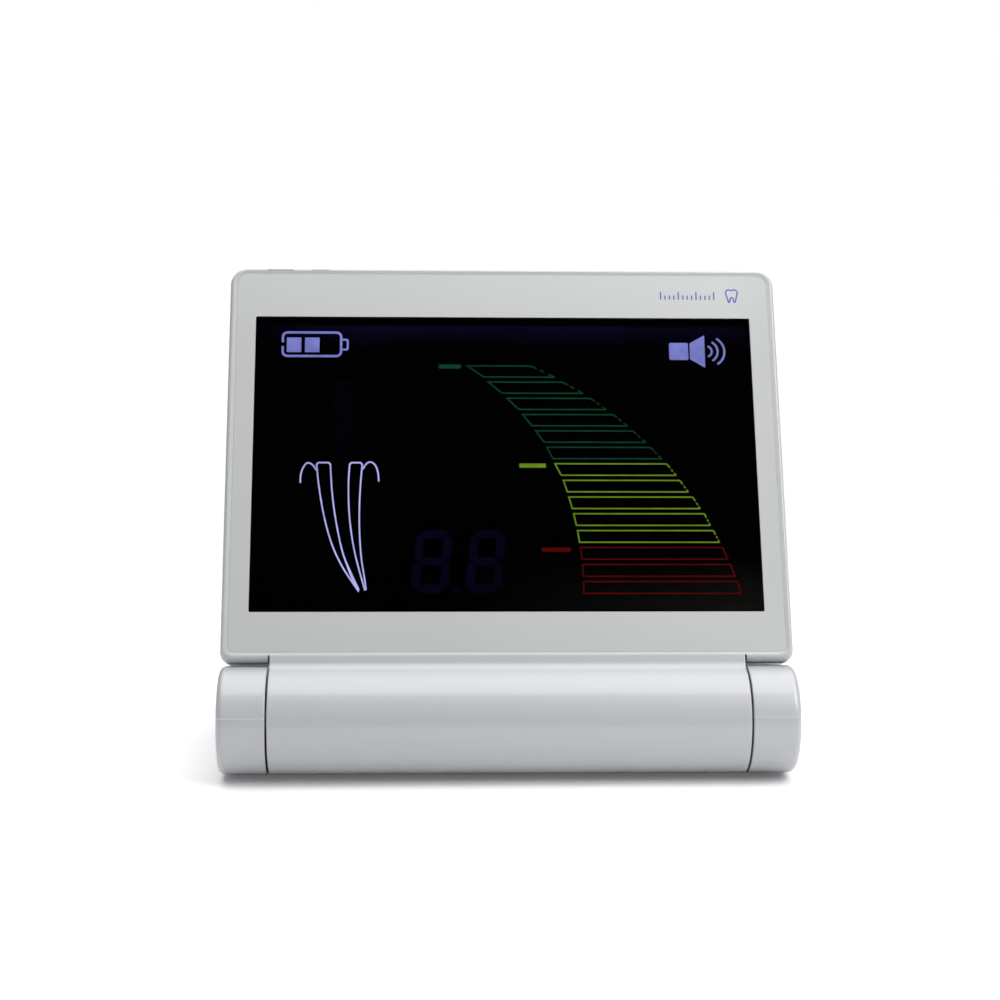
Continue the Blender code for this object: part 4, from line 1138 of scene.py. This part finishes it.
# ================================================================ sockets and feet
def build_measuring_socket():
    """Round socket in the left wall."""
    y = SOCKET[0]
    jack = box("jack", (-54.1, -40.9), (y - 3.4, y + 3.4), (-8.8, -3.95))
    nose = [(0.0001, -55.9), (2.3, -55.9), (2.6, -55.75), (2.6, -53.8), (0.0001, -53.8)]
    bore = [(2.0, -60), (2.0, -55.9), (1.75, -55.6), (1.75, -43)]
    join(jack, turned("nose", nose, 64, at=SOCKET))
    cut(jack, turned("bore", bore, 48, at=SOCKET))
    piece(jack, "measuring_socket_fine", socket_mat, "base", "measuring_socket")


def build_charging_socket():
    """Flat plated socket in the right wall, with its tongue."""
    usb = plate("usb", socket_outline(4.45, 1.6, 1.59, 12), 48.5, 55.8, "X", soft=0.1, steps=3)
    cut(usb, plate("usb_bore", socket_outline(4.1, 1.25, 1.24, 12), 49.6, 57, "X"))
    piece(usb, "charging_socket_fine", plated_mat, "base", "charging_socket")
    tongue = plate("tongue", socket_outline(3.2, 0.35, 0.15, 4), 49.7, 55.0, "X", soft=0.1, steps=2)
    piece(tongue, "charging_socket_tongue", socket_mat, "base")


def build_feet():
    """Rubber feet with two ring grooves."""
    profile = [(0.0001, -11.2), (2.6, -11.2), (2.82, -11.14), (2.95, -11.0), (3.0, -10.8),
               (3.08, -10.05), (0.0001, -10.05)]
    for k, at in enumerate(FEET, 1):
        foot = turned("foot", profile, 64, "Z", at)
        for radius in (1.2, 1.9):
            groove = [(radius - 0.12, -11.5), (radius + 0.12, -11.5), (radius + 0.06, -11.12),
                      (radius - 0.06, -11.12)]
            cut(foot, turned("ring", groove, 64, "Z", at, closed=True))
        node = "rubber_foot_%d" % k
        piece(foot, node + "_fine", rubber_mat, "base", node)


# ================================================================ CAD nodes that stay
FINISH = {
    "shell_plastic": shell_mat, "printed_lens": border_mat, "lcd_glass": lcd_mat,
    "light_guide": guide_mat, "circuit_board": board_mat, "chip_resin": resin_mat,
    "hinge_steel": steel_mat, "screw_steel": screw_mat, "foot_rubber": rubber_mat,
    "button_plastic": key_mat, "cell_wrap": wrap_mat, "wire_jacket": jacket_mat,
    "flex_film": flex_mat, "socket_body": socket_mat, "plated_socket": plated_mat}


def finish_cad_nodes():
    slots = {part["node"]: part["material_slot"] for part in frame["record"]["subparts"]}
    for name, node in frame["nodes"].items():
        node.data.materials.clear()
        node.data.materials.append(FINISH[slots[name]])


# ================================================================ stage, light, camera (metres)
scene = bpy.context.scene


def floor_paper():
    """White paper that burns out, to the camera only, away from the object."""
    mat = Material("floor_paper")
    paper = mat.noise(scale=9.0, detail=4.0)
    fibre = mat.noise(scale=700.0, detail=2.0, rough=0.6)
    mat.put(mat.bsdf, {
        "Base Color": mat.mix(paper, (0.90, 0.90, 0.90), (0.93, 0.93, 0.93)), "Roughness": 0.85,
        "Specular IOR Level": 0.1, "Normal": mat.bump(fibre, strength=0.05, distance=0.0001)})
    camera_ray = mat.add("LightPath").outputs["Is Camera Ray"]
    distance = mat.add("VectorMath", {0: mat.coord}, operation="LENGTH").outputs["Value"]
    away = mat.remap(distance, span=(0.085, 0.24))
    near_lift = 0.1
    mat.put(mat.bsdf, {"Emission Color": (1, 1, 1, 1),
                       "Emission Strength": mat.times(camera_ray, near_lift)})
    burnt = mat.add("Emission", {"Strength": 1.02})
    blend = mat.add("MixShader", {0: mat.times(camera_ray, away), 1: mat.bsdf.outputs[0],
                                  2: burnt.outputs[0]})
    mat.put(mat.out, {"Surface": blend.outputs[0]})
    return mat.material


def build_floor():
    material = floor_paper()
    bm = bmesh.new()
    bmesh.ops.create_grid(bm, x_segments=8, y_segments=8, size=30.0)
    mesh = bpy.data.meshes.new("floor")
    bm.to_mesh(mesh)
    bm.free()
    floor = bpy.data.objects.new("floor", mesh)
    floor.location = (0, 0, -0.00002)
    mesh.materials.append(material)
    scene.collection.objects.link(floor)


# radiance by height (sine of elevation): dim round the horizon, a broad bright ceiling
SKY = [(0.0, 0.24), (0.60, 0.24), (0.68, 0.30), (0.766, 0.45), (0.866, 0.6), (0.927, 0.8),
       (1.0, 0.8)]
SKY_STRENGTH = 4.0
SKY_TINT = (0.99, 0.995, 1.0)
SKY_LEFT, SKY_RIGHT = 0.88, 1.12  # the right side is the brighter one


def build_world():
    world = bpy.data.worlds.new("studio")
    scene.world = world
    world.use_nodes = True
    sky = Tree(world.node_tree)
    sky.tree.nodes.clear()
    out = sky.add("OutputWorld")
    direction = sky.separate(sky.add("TexCoord").outputs["Generated"])
    ramp = sky.add("ValToRGB", {0: direction["Z"]})
    elements = ramp.color_ramp.elements
    for position, _ in SKY[1:-1]:
        elements.new(position)
    for element, (_, radiance) in zip(elements, SKY):
        element.color = (*(radiance / SKY_STRENGTH * tint for tint in SKY_TINT), 1)
    strength = sky.remap(direction["X"], span=(-1.0, 1.0),
                         to=(SKY_STRENGTH * SKY_LEFT, SKY_STRENGTH * SKY_RIGHT))
    ambient = sky.add("Background", {"Color": ramp.outputs[0], "Strength": strength})
    # the camera sees plain white
    seen = sky.add("Background", {"Color": (1.0, 1.0, 1.0, 1), "Strength": 1.0})
    camera_ray = sky.add("LightPath").outputs["Is Camera Ray"]
    blend = sky.add("MixShader", {0: camera_ray, 1: ambient.outputs[0], 2: seen.outputs[0]})
    sky.put(out, {"Surface": blend.outputs[0]})


def softbox(name, where, facing, size, size_y, radiance):
    """Rectangle of light; its radiance is given, not its power."""
    light = bpy.data.lights.new(name, "AREA")
    light.shape = "RECTANGLE"
    light.size, light.size_y = size, size_y
    light.energy = radiance * math.pi * size * size_y
    obj = bpy.data.objects.new(name, light)
    back = -Vector(facing).normalized()
    across = Vector((0, 1, 0)).cross(back).normalized()
    turn = Matrix((across, back.cross(across), back)).transposed().to_4x4()
    obj.matrix_world = Matrix.Translation(where) @ turn
    obj.visible_camera = False
    scene.collection.objects.link(obj)


def build_lights():
    softbox("overhead_box", where=(0.05, -0.089, 0.52), facing=(0, 0, -1), size=0.9, size_y=0.322,
            radiance=2.3)
    softbox("rear_box", where=(0.05, 0.265, 0.52), facing=(0, 0, -1), size=0.9, size_y=0.36,
            radiance=1.9)
    softbox("key_box", where=(0.27, -0.23, 0.32), facing=(-0.27, 0.19, -0.28), size=0.26,
            size_y=0.26, radiance=4.7)


def build_camera():
    data = bpy.data.cameras.new("camera")
    data.sensor_width = 36.0
    data.lens = 74.92
    data.clip_start, data.clip_end = 0.01, 200.0
    camera = bpy.data.objects.new("camera", data)
    station = Vector((-18.5629, -437.533, 109.4738)) * MM
    right = Vector((0.99912758, -0.04121595, 0.00673291))
    up = Vector((-0.00099181, 0.13775658, 0.99046562))
    back = Vector((-0.04175049, -0.98960819, 0.13759552))
    turn = Matrix((right, up, back)).transposed()
    camera.matrix_world = Matrix.Translation(station) @ turn.to_4x4()
    scene.collection.objects.link(camera)
    scene.camera = camera
    scene.view_settings.view_transform = "Standard"


for build in (build_display_shells, build_lens_border, build_lens_window, build_lcd_sheet,
              build_scales, build_icons, build_tooth, build_unlit, build_border_print, build_keys,
              build_screws, build_base_shells, build_battery_door, build_measuring_socket,
              build_charging_socket, build_feet, finish_cad_nodes, build_floor, build_world,
              build_lights, build_camera):
    build()

bpy.data.collections.remove(work)
